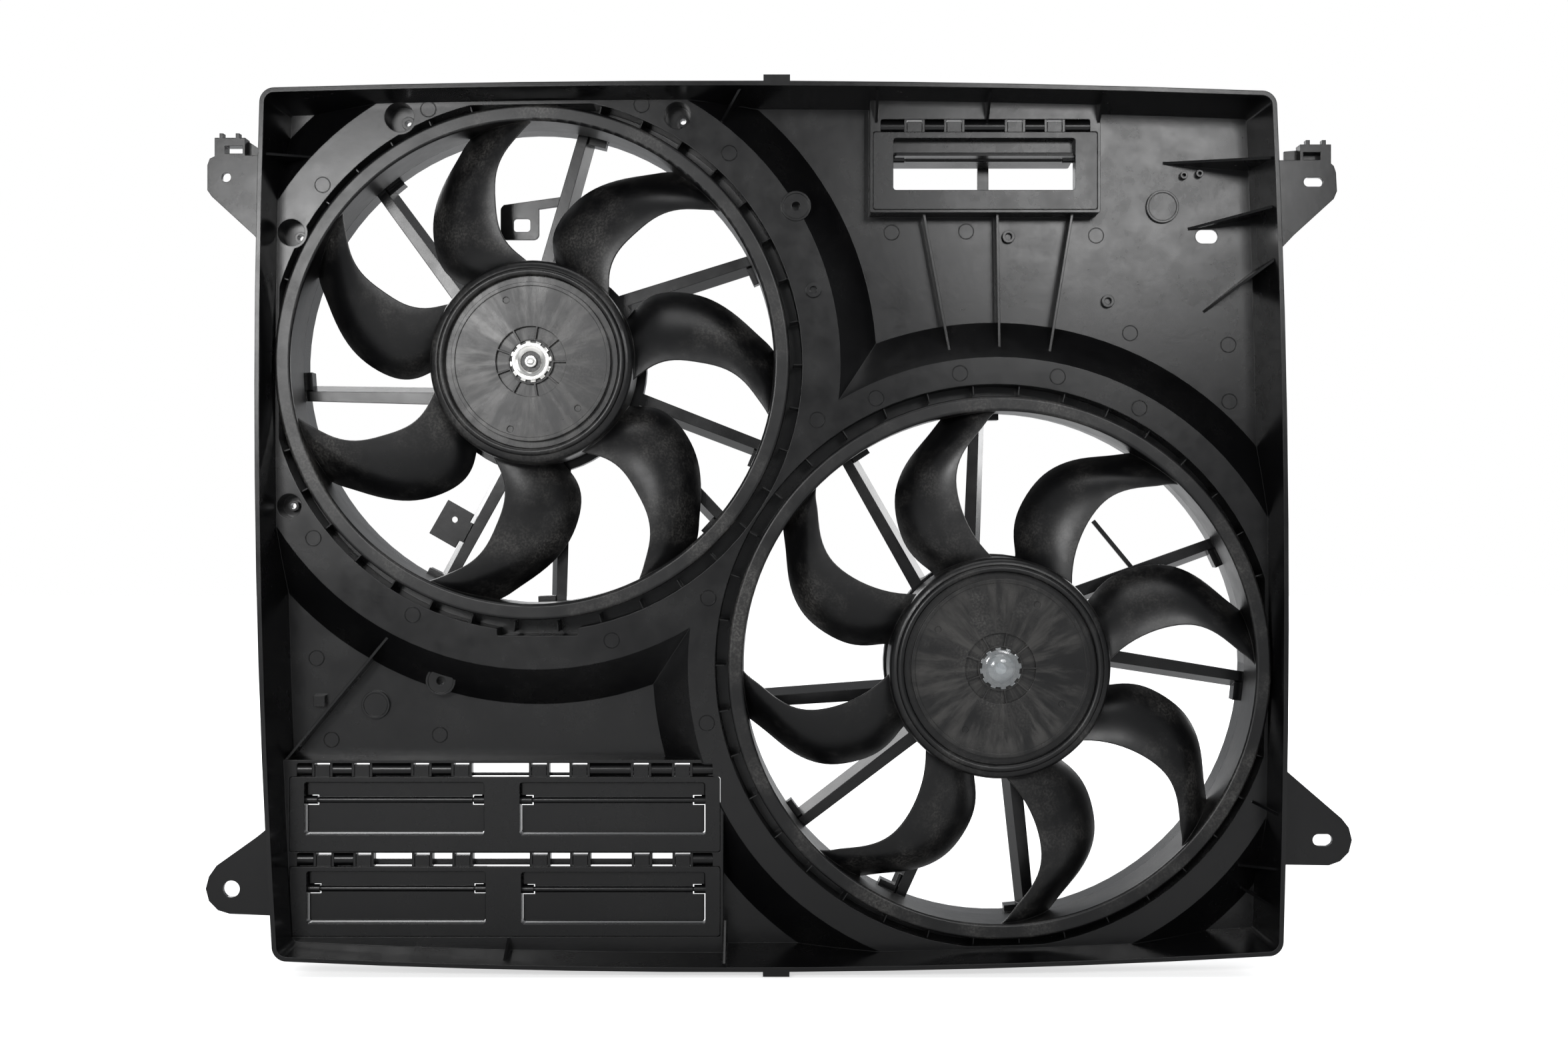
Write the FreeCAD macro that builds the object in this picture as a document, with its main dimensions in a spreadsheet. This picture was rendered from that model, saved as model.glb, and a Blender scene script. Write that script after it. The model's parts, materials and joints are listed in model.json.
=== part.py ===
"""Twin-fan radiator cooling module, in millimetres.

A moulded shroud carries two ring fans on their electric motors, and five ram-air flaps in three
clip-on carriers.  X runs to the right and Z up as the module hangs behind a radiator, and +Y runs
to the rear, from the rim that meets the radiator towards the motors.  The origin is the middle of
the rim's front plane.
"""
import FreeCAD
import Part
import math
import os

Vector = FreeCAD.Vector

SIZES = {
    # rim: an almost rectangular wall whose four sides are slightly crowned
    "rim_left_mid": 349.0,
    "rim_right_mid": 348.5,
    "rim_top_mid": 301.5,
    "rim_bottom_mid": 300.4,
    "rim_corner_radius": 10.0,
    "rim_wall": 3.0,
    "rim_draft": 5.0,
    # levels of the shroud's front, measured back from the rim
    "plateau_depth": 32.0,
    "floor_depth": 55.0,
    "skin": 3.0,
    # conical slope from the plateau round each fan down to the floor
    "slope_run": 26.0,
    "left_mesa_radius": 211.0,
    "right_mesa_radius": 213.5,
    # fan axes
    "left_fan_across": -164.0,
    "left_fan_up": 112.5,
    "right_fan_across": 155.0,
    "right_fan_up": -96.0,
    # left fan wheel
    "left_blade_count": 7,
    "left_hub_radius": 69.5,
    "left_crest_radius": 61.4,
    "left_tip_radius": 165.0,
    "left_lip_radius": 175.9,
    "left_bay_radius": 184.6,
    # right fan wheel
    "right_blade_count": 8,
    "right_hub_radius": 75.5,
    "right_crest_radius": 68.0,
    "right_tip_radius": 175.2,
    "right_lip_radius": 185.6,
    "right_bay_radius": 194.8,
    # depths and walls that the two wheels share
    "hub_front": 6.0,
    "hub_face": 8.0,
    "hub_rear": 50.0,
    "hub_wall": 3.6,
    "hub_disc": 3.0,
    "groove_width": 4.6,
    "groove_depth": 4.0,
    "crest_half_width": 2.6,
    "spoke_recess_inner": 15.4,
    "spoke_recess_outer": 24.0,
    "spoke_recess_depth": 3.0,
    "spoke_width": 1.1,
    "spoke_count": 9,
    "dimple_radius": 2.2,
    "dimple_depth": 1.0,
    "hub_boss_radius": 26.0,
    "hub_boss_length": 14.0,
    "ring_front": 14.0,
    "ring_rear": 52.0,
    "ring_wall": 2.8,
    "lip_wall": 2.6,
    "lip_skirt": 8.0,
    "lip_round": 2.0,
    "blade_thickness": 3.2,
    "blade_edge": 1.2,
    "blade_lead_depth": 19.0,
    "blade_trail_depth": 47.0,
    "blade_camber": 0.09,
    # toothed retainer that holds each wheel on its shaft
    "retainer_radius": 12.8,
    "retainer_tooth": 1.4,
    "retainer_teeth": 12,
    "retainer_thickness": 3.0,
    "retainer_clearance": 0.3,
    # stationary bay behind each wheel
    "bay_wall": 2.8,
    "bay_rear": 60.0,
    "stator_ring_gap": 1.3,
    "stator_ring_rear": 78.0,
    "labyrinth_ribs": 38,
    "labyrinth_rib_width": 0.9,
    "labyrinth_front": 36.0,
    "wheel_gap": 2.4,
    # stator arms and motor rings
    "arm_front": 60.0,
    "arm_depth": 13.0,
    "arm_root": 8.5,
    "arm_tip": 7.0,
    "arm_lean": 6.0,
    "left_motor_ring": 75.0,
    "right_motor_ring": 77.0,
    "motor_ring_front": 60.0,
    "motor_ring_depth": 12.0,
    "can_clearance": 1.5,
    # motors
    "left_can_radius": 50.0,
    "right_can_radius": 54.0,
    "can_front": 28.0,
    "can_rear": 84.0,
    "can_wall": 2.0,
    "bell_thickness": 4.0,
    "bearing_radius": 9.0,
    "bearing_length": 9.0,
    "bearing_seat_wall": 2.0,
    "shaft_radius": 4.0,
    "shaft_clearance": 0.03,
    "shaft_front": 6.6,
    "flange_thickness": 3.0,
    "flange_ear_radius": 7.0,
    "motor_screw_circle_margin": 10.0,
    "motor_screw_radius": 2.5,
    "motor_screw_head": 4.6,
    "motor_screw_head_height": 3.6,
    "motor_screw_reach": 13.0,
    "magnet_thickness": 4.4,
    "magnet_front": 40.0,
    "magnet_rear": 68.0,
    "air_gap": 0.8,
    "core_front": 43.0,
    "core_rear": 64.0,
    "core_slots": 12,
    "core_slot_width": 5.0,
    "core_slot_depth": 14.0,
    "winding_overhang": 5.0,
    "commutator_radius": 13.0,
    "commutator_front": 72.5,
    "commutator_rear": 80.0,
    "brush_gap": 0.2,
    "brush_length": 14.0,
    "brush_width": 6.0,
    "brush_height": 5.0,
    "brush_plate_thickness": 2.0,
    # ram-air flap carriers
    "carrier_front": 33.0,
    "carrier_plate": 3.0,
    "seat_flange": 5.0,
    "seat_clearance": 0.3,
    "box_wall": 2.2,
    "collar_wall": 1.8,
    "collar_depth": 13.0,
    "flap_gap": 0.9,
    "flap_thickness": 2.2,
    "flap_axle_share": 0.36,
    "flap_axle_depth": 41.0,
    "flap_pin_radius": 1.6,
    "flap_pin_clearance": 0.05,
    "flap_pin_end": 1.5,
    "flap_bar_radius": 2.3,
    "flap_notch": 8.0,
    "window_corner": 2.0,
    "upper_flap_open": 85.0,
    "flap_eye_radius": 3.0,
    "flap_stop_depth": 43.0,
    "flap_stop_thickness": 2.0,
    "flap_stop_rise": 4.3,
    "clip_width": 10.6,
    "clip_gap": 0.3,
    "clip_lug": 1.8,
    "rod_radius": 4.4,
    "rod_depth": 38.0,
    "clip_pin_radius": 1.5,
    "clip_hook_wall": 1.6,
    # fixing ears
    "ear_front": 20.0,
    "ear_plate": 4.0,
    "ear_clip_depth": 12.0,
    "rib_thickness": 1.8,
    "pocket_depth": 20.0,
    "ear_small_hole": 3.2,
    "ear_large_hole": 5.8,
    "ear_slot_half_width": 4.0,
    "ear_slot_length": 13.6,
}

DOC = FreeCAD.newDocument("fan_module")
SHEET = DOC.addObject("Spreadsheet::Sheet", "Sizes")
FACING = FreeCAD.Rotation(Vector(1, 0, 0), 90)
ALONG_Y = FreeCAD.Rotation(Vector(1, 0, 0), -90)
ALONG_X = FreeCAD.Rotation(Vector(0, 1, 0), 90)
NODES = {}


def fill_sheet():
    """Each driving size becomes one cell with its own alias."""
    for row, (name, value) in enumerate(SIZES.items(), start=1):
        SHEET.set(f"A{row}", name)
        SHEET.set(f"B{row}", str(value))
        SHEET.setAlias(f"B{row}", name)
    DOC.recompute()


def size(name):
    """The value that the sheet holds under an alias."""
    return float(SHEET.get(name))


def bind(thing, links):
    """Ties properties of an object to formulas of the sheet."""
    for prop, formula in links.items():
        thing.setExpression(prop, formula)
    return thing


def node(name, thing):
    """Registers an object as the sub-part of that name."""
    thing.Label = name
    NODES[name] = thing
    return thing


def polygon(points):
    """Closed straight-sided outline through points of a plane."""
    corners = [Vector(a, b, 0) for a, b in points]
    return [Part.LineSegment(corners[i - 1], corners[i]) for i in range(len(corners))]


def arc(start, middle, end):
    """Circular arc through three points of a plane."""
    return Part.Arc(Vector(*start, 0), Vector(*middle, 0), Vector(*end, 0))


def circle(centre, radius):
    """Full circle in a plane."""
    return [Part.Circle(Vector(centre[0], centre[1], 0), Vector(0, 0, 1), radius)]


def rounded_rectangle(low, high, radius):
    """Rectangle between two corners, with quarter circles at its corners."""
    (left, bottom), (right, top) = low, high
    bend = radius * (1 - math.sqrt(0.5))
    sides = [
        ((left + radius, bottom), (right - radius, bottom)),
        ((right, bottom + radius), (right, top - radius)),
        ((right - radius, top), (left + radius, top)),
        ((left, top - radius), (left, bottom + radius)),
    ]
    middles = [
        (right - bend, bottom + bend),
        (right - bend, top - bend),
        (left + bend, top - bend),
        (left + bend, bottom + bend),
    ]
    outline = []
    for index, (start, end) in enumerate(sides):
        outline.append(Part.LineSegment(Vector(*start, 0), Vector(*end, 0)))
        outline.append(arc(end, middles[index], sides[(index + 1) % 4][0]))
    return outline


def slot_outline(centre, length, half_width):
    """Slot with round ends, lying along the plane's first axis."""
    reach = length / 2 - half_width
    x, z = centre
    return [
        Part.LineSegment(Vector(x - reach, z - half_width, 0), Vector(x + reach, z - half_width, 0)),
        arc((x + reach, z - half_width), (x + reach + half_width, z), (x + reach, z + half_width)),
        Part.LineSegment(Vector(x + reach, z + half_width, 0), Vector(x - reach, z + half_width, 0)),
        arc((x - reach, z + half_width), (x - reach - half_width, z), (x - reach, z - half_width)),
    ]


def prism(name, outline, start, length):
    """Outline drawn in the X-Z plane at depth `start`, carried back by `length`, both formulas."""
    sketch = DOC.addObject("Sketcher::SketchObject", name + "_outline")
    sketch.Placement = FreeCAD.Placement(Vector(0, 0, 0), FACING)
    sketch.addGeometry(outline, False)
    bind(sketch, {"Placement.Base.y": start})
    solid = DOC.addObject("Part::Extrusion", name)
    solid.Base = sketch
    solid.DirMode = "Custom"
    solid.Dir = Vector(0, 1, 0)
    solid.Solid = True
    return bind(solid, {"LengthFwd": length})


def cylinder(name, radius, start, length, centre):
    """Cylinder along Y; every argument but the name is a formula."""
    solid = DOC.addObject("Part::Cylinder", name)
    solid.Placement = FreeCAD.Placement(Vector(0, 0, 0), ALONG_Y)
    links = {"Radius": radius, "Height": length, "Placement.Base.y": start}
    links["Placement.Base.x"], links["Placement.Base.z"] = centre
    return bind(solid, links)


def cone(name, front_radius, rear_radius, start, length, centre):
    """Cone frustum along Y; every argument but the name is a formula."""
    solid = DOC.addObject("Part::Cone", name)
    solid.Placement = FreeCAD.Placement(Vector(0, 0, 0), ALONG_Y)
    links = {"Radius1": front_radius, "Radius2": rear_radius, "Height": length}
    links["Placement.Base.y"] = start
    links["Placement.Base.x"], links["Placement.Base.z"] = centre
    return bind(solid, links)


def fuse(name, *things):
    """Union of two or more solids."""
    union = DOC.addObject("Part::MultiFuse", name)
    union.Shapes = list(things)
    return union


def cut(name, base, tool):
    """Base less tool."""
    rest = DOC.addObject("Part::Cut", name)
    rest.Base = base
    rest.Tool = tool
    return rest


def common(name, *things):
    """What all the solids share."""
    shared = DOC.addObject("Part::MultiCommon", name)
    shared.Shapes = list(things)
    return shared


def feature(name, shape):
    """A form that only Part's own functions can make."""
    thing = DOC.addObject("Part::Feature", name)
    thing.Shape = shape
    return thing


def body(name, centre=("0", "0", "0")):
    """Empty PartDesign body whose place is tied to three formulas."""
    holder = DOC.addObject("PartDesign::Body", name)
    NODES[name] = holder
    holder.Label = name
    keys = ("Placement.Base.x", "Placement.Base.y", "Placement.Base.z")
    return bind(holder, dict(zip(keys, centre)))


def origin_part(holder, role):
    """Origin plane or axis of a body, by role."""
    return [part for part in holder.Origin.OriginFeatures if part.Role == role][0]


def sketch_on(holder, name, role, geometry, target=None):
    """Sketch on one of the body's origin planes, shifted to `target` when given."""
    sketch = holder.newObject("Sketcher::SketchObject", name)
    plane = origin_part(holder, role)
    sketch.AttachmentSupport = (plane, [""])
    sketch.MapMode = "FlatFace"
    if target is not None:
        sketch.AttachmentOffset = PLANES[role].inverse().multiply(target)
    sketch.addGeometry(geometry, False)
    return sketch


PLANES = {
    "XY_Plane": FreeCAD.Placement(),
    "XZ_Plane": FreeCAD.Placement(Vector(0, 0, 0), FACING),
    "YZ_Plane": FreeCAD.Placement(
        Vector(0, 0, 0), FreeCAD.Rotation(Vector(1, 1, 1), 120)
    ),
}


def facing_sketch(holder, name, geometry, depth):
    """Sketch in the X-Z plane at a depth given as a formula."""
    sketch = sketch_on(holder, name, "XZ_Plane", geometry)
    return bind(sketch, {"AttachmentOffset.Base.z": f"-({depth})"})


def turn(holder, name, profile):
    """Full revolution about the body's Y axis of a profile drawn as (radius, depth)."""
    sketch = sketch_on(holder, name + "_profile", "XY_Plane", profile)
    solid = holder.newObject("PartDesign::Revolution", name)
    solid.Profile = (sketch, [""])
    solid.ReferenceAxis = (sketch, ["V_Axis"])
    solid.Angle = 360
    return solid


def pad(holder, name, sketch, length):
    """Pad to the rear of a facing sketch."""
    solid = holder.newObject("PartDesign::Pad", name)
    solid.Profile = (sketch, [""])
    solid.Reversed = True
    return bind(solid, {"Length": length})


def pocket(holder, name, sketch, length):
    """Pocket to the rear of a facing sketch."""
    solid = holder.newObject("PartDesign::Pocket", name)
    solid.Profile = (sketch, [""])
    solid.Reversed = False
    return bind(solid, {"Length": length})


def around(holder, name, features, count):
    """Copies features round the body's Y axis."""
    pattern = holder.newObject("PartDesign::PolarPattern", name)
    pattern.Originals = features
    pattern.Axis = (origin_part(holder, "Y_Axis"), [""])
    pattern.Angle = 360
    holder.Tip = pattern
    return bind(pattern, {"Occurrences": count})


SIDES = ("left", "right")

# share of the span, leading edge angle, trailing edge angle; degrees round the hub, counter-clockwise
BLADE_STATIONS = {
    "left": [
        (0.0, 93.0, 130.5), (0.10, 100.2, 133.2), (0.26, 104.0, 134.2), (0.44, 103.3, 130.2),
        (0.63, 101.4, 123.6), (0.81, 97.2, 115.0), (0.905, 93.8, 110.5), (1.0, 89.5, 105.2),
    ],
    "right": [
        (0.0, 138.5, 169.0), (0.10, 143.8, 170.7), (0.26, 147.5, 171.8), (0.44, 148.5, 169.5),
        (0.63, 147.0, 165.0), (0.81, 142.0, 157.0), (0.905, 138.7, 151.5), (1.0, 134.5, 146.5),
    ],
}


# shallow dimples in each hub's face: radius and angle
HUB_DIMPLES = {
    "left": ((45.0, 112.0), (48.0, 253.0), (45.0, 315.0)),
    "right": ((50.0, 60.0), (50.0, 148.0), (48.0, 240.0), (48.0, 330.0)),
}


def centre_of(side):
    """Formulas that place a body on one of the two fan axes."""
    return (f"Sizes.{side}_fan_across", "0", f"Sizes.{side}_fan_up")


def axis_of(side):
    """The same axis as formulas for X and Z."""
    return (f"Sizes.{side}_fan_across", f"Sizes.{side}_fan_up")


def hub_profile(side):
    """Half section of the hub cup: boss, spoke recess, disc, groove, rounded crest and skirt."""
    radius = size(f"{side}_hub_radius")
    crest = size(f"{side}_crest_radius")
    half = size("crest_half_width")
    face = size("hub_face")
    front = size("hub_front")
    inside = radius - size("hub_wall")
    seat = size("retainer_radius") + size("retainer_tooth") + size("retainer_clearance")
    seat_floor = size("shaft_front") + size("retainer_thickness")
    bore = size("shaft_radius")
    recess = face + size("spoke_recess_depth")
    groove = crest - half - size("groove_width")
    groove_floor = face + size("groove_depth")
    back = face + size("hub_disc")
    groove_back = groove_floor + size("hub_disc")
    lip = front + half
    shoulder = lip + radius - crest - half
    boss = size("hub_boss_radius")
    points = [
        (groove, groove_floor), (groove, face - 0.8), (groove - half, face - 0.8),
        (groove - half, face), (size("spoke_recess_outer"), face),
        (size("spoke_recess_outer"), recess), (size("spoke_recess_inner"), recess),
        (size("spoke_recess_inner"), face), (seat, face), (seat, seat_floor),
        (bore, seat_floor), (bore, face + size("hub_boss_length")),
        (boss, face + size("hub_boss_length")), (boss, back), (groove - half, back),
        (groove, groove_back), (crest + half, groove_back),
        (inside, groove_back + inside - crest - half), (inside, size("hub_rear")),
        (radius, size("hub_rear")), (radius, shoulder),
    ]
    corners = [Vector(r, y, 0) for r, y in points]
    outline = [Part.LineSegment(a, b) for a, b in zip(corners, corners[1:])]
    bend = (radius - crest - half) * (1 - math.sqrt(0.5))
    outline.append(arc((radius, shoulder), (radius - bend, lip + bend), (crest + half, lip)))
    outline.append(arc((crest + half, lip), (crest, front), (crest - half, lip)))
    outline.append(Part.LineSegment(Vector(crest - half, lip, 0), Vector(crest - half, groove_floor, 0)))
    outline.append(Part.LineSegment(Vector(crest - half, groove_floor, 0), corners[0]))
    return outline


def ring_profile(side):
    """Half section of the wheel's outer ring: wall, rounded lip and the lip's skirt."""
    tip = size(f"{side}_tip_radius")
    lip = size(f"{side}_lip_radius")
    front = size("ring_front")
    rear = size("ring_rear")
    wall = size("ring_wall")
    thick = size("lip_wall")
    skirt = front + size("lip_skirt")
    bend = size("lip_round")
    inset = bend * (1 - math.sqrt(0.5))
    points = [
        (lip, front + bend), (lip, skirt), (lip - thick, skirt), (lip - thick, front + thick),
        (tip + wall, front + thick), (tip + wall, rear), (tip, rear), (tip, front + bend),
    ]
    corners = [Vector(r, y, 0) for r, y in points]
    outline = [Part.LineSegment(a, b) for a, b in zip(corners, corners[1:])]
    outline.append(arc((tip, front + bend), (tip + inset, front + inset), (tip + bend, front)))
    outline.append(Part.LineSegment(Vector(tip + bend, front, 0), Vector(lip - bend, front, 0)))
    outline.append(arc((lip - bend, front), (lip - inset, front + inset), (lip, front + bend)))
    return outline


def blade_section(distance, half_chord):
    """Cambered section drawn as (depth, tangent): leading edge in front, trailing edge behind."""
    lead = Vector(size("blade_lead_depth"), -half_chord, 0)
    trail = Vector(size("blade_trail_depth"), half_chord, 0)
    chord = trail.sub(lead)
    normal = Vector(-chord.y, chord.x, 0).normalize()
    edge = normal * (size("blade_edge") / 2)
    belly = normal * (size("blade_thickness") / 2)
    middle = (lead + trail) * 0.5 + normal * (chord.Length * size("blade_camber"))
    front = Part.Arc(lead + edge, middle + belly, trail + edge)
    rear = Part.Arc(trail - edge, middle - belly, lead - edge)
    closing = Part.LineSegment(trail + edge, trail - edge)
    opening = Part.LineSegment(lead - edge, lead + edge)
    return [front, closing, rear, opening]


def blade_sketches(holder, side):
    """Sections of one swept blade, each square to the radius through its own middle."""
    hub = size(f"{side}_hub_radius")
    tip = size(f"{side}_tip_radius")
    sink = 0.3
    bury = size("ring_wall") - 0.6
    sketches = []
    for index, (share, lead, trail) in enumerate(BLADE_STATIONS[side]):
        radius = hub + share * (tip - hub)
        if share == 0.0:
            radius = hub - sink
        if share == 1.0:
            radius = tip + bury
        half_angle = math.radians(trail - lead) / 2
        middle = (lead + trail) / 2
        distance = radius * math.cos(half_angle)
        turned = FreeCAD.Rotation(Vector(0, 1, 0), -middle)
        place = FreeCAD.Placement(turned.multVec(Vector(distance, 0, 0)), turned)
        target = place.multiply(PLANES["YZ_Plane"])
        outline = blade_section(distance, radius * math.sin(half_angle))
        sketches.append(sketch_on(holder, f"{side}_blade_{index}", "YZ_Plane", outline, target))
    return sketches


def make_fan(side):
    """Ring fan wheel: hub cup with spoke recess, swept blades and an outer ring with a lip."""
    wheel = body(f"fan_{side}", centre_of(side))
    turn(wheel, f"{side}_hub", hub_profile(side))
    recess = size("spoke_recess_inner")
    width = size("spoke_width") / 2
    spoke = polygon([
        (recess - 0.3, -width), (size("spoke_recess_outer") + 0.3, -width),
        (size("spoke_recess_outer") + 0.3, width), (recess - 0.3, width),
    ])
    spoke_sketch = facing_sketch(wheel, f"{side}_spoke_outline", spoke, "Sizes.hub_face")
    spoke_pad = pad(wheel, f"{side}_spoke", spoke_sketch, "Sizes.spoke_recess_depth")
    around(wheel, f"{side}_spokes", [spoke_pad], "Sizes.spoke_count")
    dimples = []
    for radius, angle in HUB_DIMPLES[side]:
        turned = math.radians(angle)
        place = (radius * math.cos(turned), radius * math.sin(turned))
        dimples += circle(place, size("dimple_radius"))
    dimple_sketch = facing_sketch(wheel, f"{side}_dimple_outline", dimples, "Sizes.hub_face")
    pocket(wheel, f"{side}_dimples", dimple_sketch, "Sizes.dimple_depth")
    sections = blade_sketches(wheel, side)
    blade = wheel.newObject("PartDesign::AdditiveLoft", f"{side}_blade")
    blade.Profile = (sections[0], [""])
    blade.Sections = [(section, [""]) for section in sections[1:]]
    around(wheel, f"{side}_blades", [blade], f"Sizes.{side}_blade_count")
    turn(wheel, f"{side}_ring", ring_profile(side))
    return wheel


def make_left_retainer():
    """Toothed steel disc pressed over the left shaft end."""
    front = size("shaft_front")
    rear = front + size("retainer_thickness")
    disc = body("retainer_left", centre_of("left"))
    inner = size("shaft_radius")
    outer = size("retainer_radius")
    step = 0.7
    turn(disc, "left_retainer_disc", polygon([
        (inner, front + step), (outer / 2, front + step), (outer / 2 + step, front),
        (outer, front), (outer, rear), (inner, rear),
    ]))
    add_teeth(disc, "left")


def make_right_retainer():
    """Toothed nylon cap with a low dome over the right shaft end."""
    front = size("shaft_front")
    rear = front + size("retainer_thickness")
    cap = body("retainer_right", centre_of("right"))
    outer = size("retainer_radius")
    dome = 3.0
    shaft = size("shaft_radius")
    clear = size("retainer_clearance")
    corners = [
        (outer, front), (outer, rear), (shaft, rear), (shaft, front - clear), (0, front - clear),
        (0, front - dome),
    ]
    outline = [
        Part.LineSegment(Vector(*a, 0), Vector(*b, 0)) for a, b in zip(corners, corners[1:])
    ]
    outline.append(arc((0, front - dome), (outer / 2, front - dome * 0.8), (outer, front)))
    turn(cap, "right_retainer_dome", outline)
    add_teeth(cap, "right")


def add_teeth(holder, side):
    """Square teeth round a retainer's rim."""
    outer = size("retainer_radius")
    tooth = size("retainer_tooth")
    half = outer * math.pi / size("retainer_teeth") * 0.5
    outline = polygon([
        (outer - 1, -half), (outer + tooth, -half), (outer + tooth, half), (outer - 1, half),
    ])
    sketch = facing_sketch(holder, f"{side}_tooth_outline", outline, "Sizes.shaft_front")
    tooth_pad = pad(holder, f"{side}_tooth", sketch, "Sizes.retainer_thickness")
    around(holder, f"{side}_teeth", [tooth_pad], "Sizes.retainer_teeth")


def make_motor(side):
    """One permanent-magnet motor: still parts, then the parts that turn with the wheel."""
    make_can(side)
    make_bell(side)
    make_bearings(side)
    make_flange(side)
    make_screws(side)
    make_magnets(side)
    make_armature(side)
    make_brush_gear(side)


def make_can(side):
    """Deep-drawn steel can, closed in front round the front bearing's seat."""
    can = body(f"motor_can_{side}", centre_of(side))
    outer = size(f"{side}_can_radius")
    wall = size("can_wall")
    front = size("can_front")
    seat = size("bearing_radius")
    seat_rear = front + size("bearing_length")
    seat_outer = seat + size("bearing_seat_wall")
    bend = 4.0
    inset = bend * (1 - math.sqrt(0.5))
    hole = size("shaft_radius") + 1.5
    corners = [
        (outer, front + bend), (outer, size("can_rear")), (outer - wall, size("can_rear")),
        (outer - wall, front + wall), (seat_outer, front + wall), (seat_outer, seat_rear),
        (seat, seat_rear), (seat, front), (hole, front), (hole, front - wall),
        (seat_outer, front - wall), (seat_outer + wall, front), (outer - bend, front),
    ]
    outline = [
        Part.LineSegment(Vector(*a, 0), Vector(*b, 0)) for a, b in zip(corners, corners[1:])
    ]
    outline.append(arc((outer - bend, front), (outer - inset, front + inset), (outer, front + bend)))
    turn(can, f"{side}_can", outline)


def make_bell(side):
    """Rear cover with a spigot in the can, a bearing seat and the connector's inlet."""
    bell = body(f"motor_rear_cover_{side}", centre_of(side))
    outer = size(f"{side}_can_radius")
    inner = outer - size("can_wall")
    rear = size("can_rear")
    back = rear + size("bell_thickness")
    seat = size("bearing_radius")
    seat_outer = seat + size("bearing_seat_wall")
    seat_rear = back + 3.0
    seat_front = seat_rear - size("bearing_length")
    cap = 2.0
    turn(bell, f"{side}_bell", polygon([
        (seat, seat_front), (seat, seat_rear), (0, seat_rear), (0, seat_rear + cap),
        (seat_outer, seat_rear + cap), (seat_outer + 2, back), (outer, back), (outer, rear),
        (inner, rear), (inner, rear - 4), (inner - 3, rear - 4), (inner - 3, rear),
        (seat_outer, rear), (seat_outer, seat_front),
    ]))
    reach = outer * 0.62
    inlet = rounded_rectangle((-13, -reach - 8), (13, -reach + 8), 3)
    shell = facing_sketch(bell, f"{side}_inlet_outline", inlet, "Sizes.can_rear + Sizes.bell_thickness")
    pad(bell, f"{side}_inlet", shell, "10")
    mouth = rounded_rectangle((-11, -reach - 6), (11, -reach + 6), 2)
    opening = facing_sketch(
        bell, f"{side}_inlet_mouth", mouth, "Sizes.can_rear + Sizes.bell_thickness + 2")
    pocket(bell, f"{side}_inlet_hollow", opening, "9")
    blade = polygon([(4, -reach - 0.4), (8, -reach - 0.4), (8, -reach + 0.4), (4, -reach + 0.4)])
    mirror_blade = polygon([(-8, -reach - 0.4), (-4, -reach - 0.4), (-4, -reach + 0.4), (-8, -reach + 0.4)])
    contacts = facing_sketch(
        bell, f"{side}_contacts", blade + mirror_blade, "Sizes.can_rear + Sizes.bell_thickness")
    pad(bell, f"{side}_contact_blades", contacts, "8")


def make_bearings(side):
    """Front and rear sintered bushes, with running clearance on the shaft."""
    bore = size("shaft_radius") + size("shaft_clearance")
    outer = size("bearing_radius")
    length = size("bearing_length")
    rear_end = size("can_rear") + size("bell_thickness") + 3.0
    starts = {"front": size("can_front"), "rear": rear_end - length}
    for place, start in starts.items():
        bush = body(f"{place}_bearing_{side}", centre_of(side))
        turn(bush, f"{side}_{place}_bush", polygon([
            (bore, start), (outer, start), (outer, start + length), (bore, start + length),
        ]))


def screw_circle(side):
    """Radius of the circle through a motor's fixing screws."""
    return size(f"{side}_can_radius") + size("motor_screw_circle_margin")


def make_flange(side):
    """Pressed steel flange round the can, with three ears that sit on the motor ring."""
    flange = body(f"motor_flange_{side}", centre_of(side))
    can = size(f"{side}_can_radius")
    reach = screw_circle(side)
    ear = size("flange_ear_radius")
    start = "Sizes.motor_ring_front - Sizes.flange_thickness"
    thickness = "Sizes.flange_thickness"
    band = circle((0, 0), can + 4.5) + circle((0, 0), can)
    plate = facing_sketch(flange, f"{side}_flange_outline", band, start)
    pad(flange, f"{side}_flange_plate", plate, thickness)
    half = ear * 1.3
    root = math.sqrt((can + 2) ** 2 - half ** 2)
    ear_outline = [
        Part.LineSegment(Vector(root, -half, 0), Vector(reach, -ear, 0)),
        arc((reach, -ear), (reach + ear, 0), (reach, ear)),
        Part.LineSegment(Vector(reach, ear, 0), Vector(root, half, 0)),
        arc((root, half), (can + 2, 0), (root, -half)),
    ]
    ear_sketch = facing_sketch(flange, f"{side}_ear_outline", ear_outline, start)
    ear_pad = pad(flange, f"{side}_ear", ear_sketch, thickness)
    around(flange, f"{side}_ears", [ear_pad], "3")
    hole = facing_sketch(
        flange, f"{side}_ear_hole_outline", circle((reach, 0), size("motor_screw_radius") + 0.3), start)
    ear_hole = pocket(flange, f"{side}_ear_hole", hole, thickness)
    around(flange, f"{side}_ear_holes", [ear_hole], "3")


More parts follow.
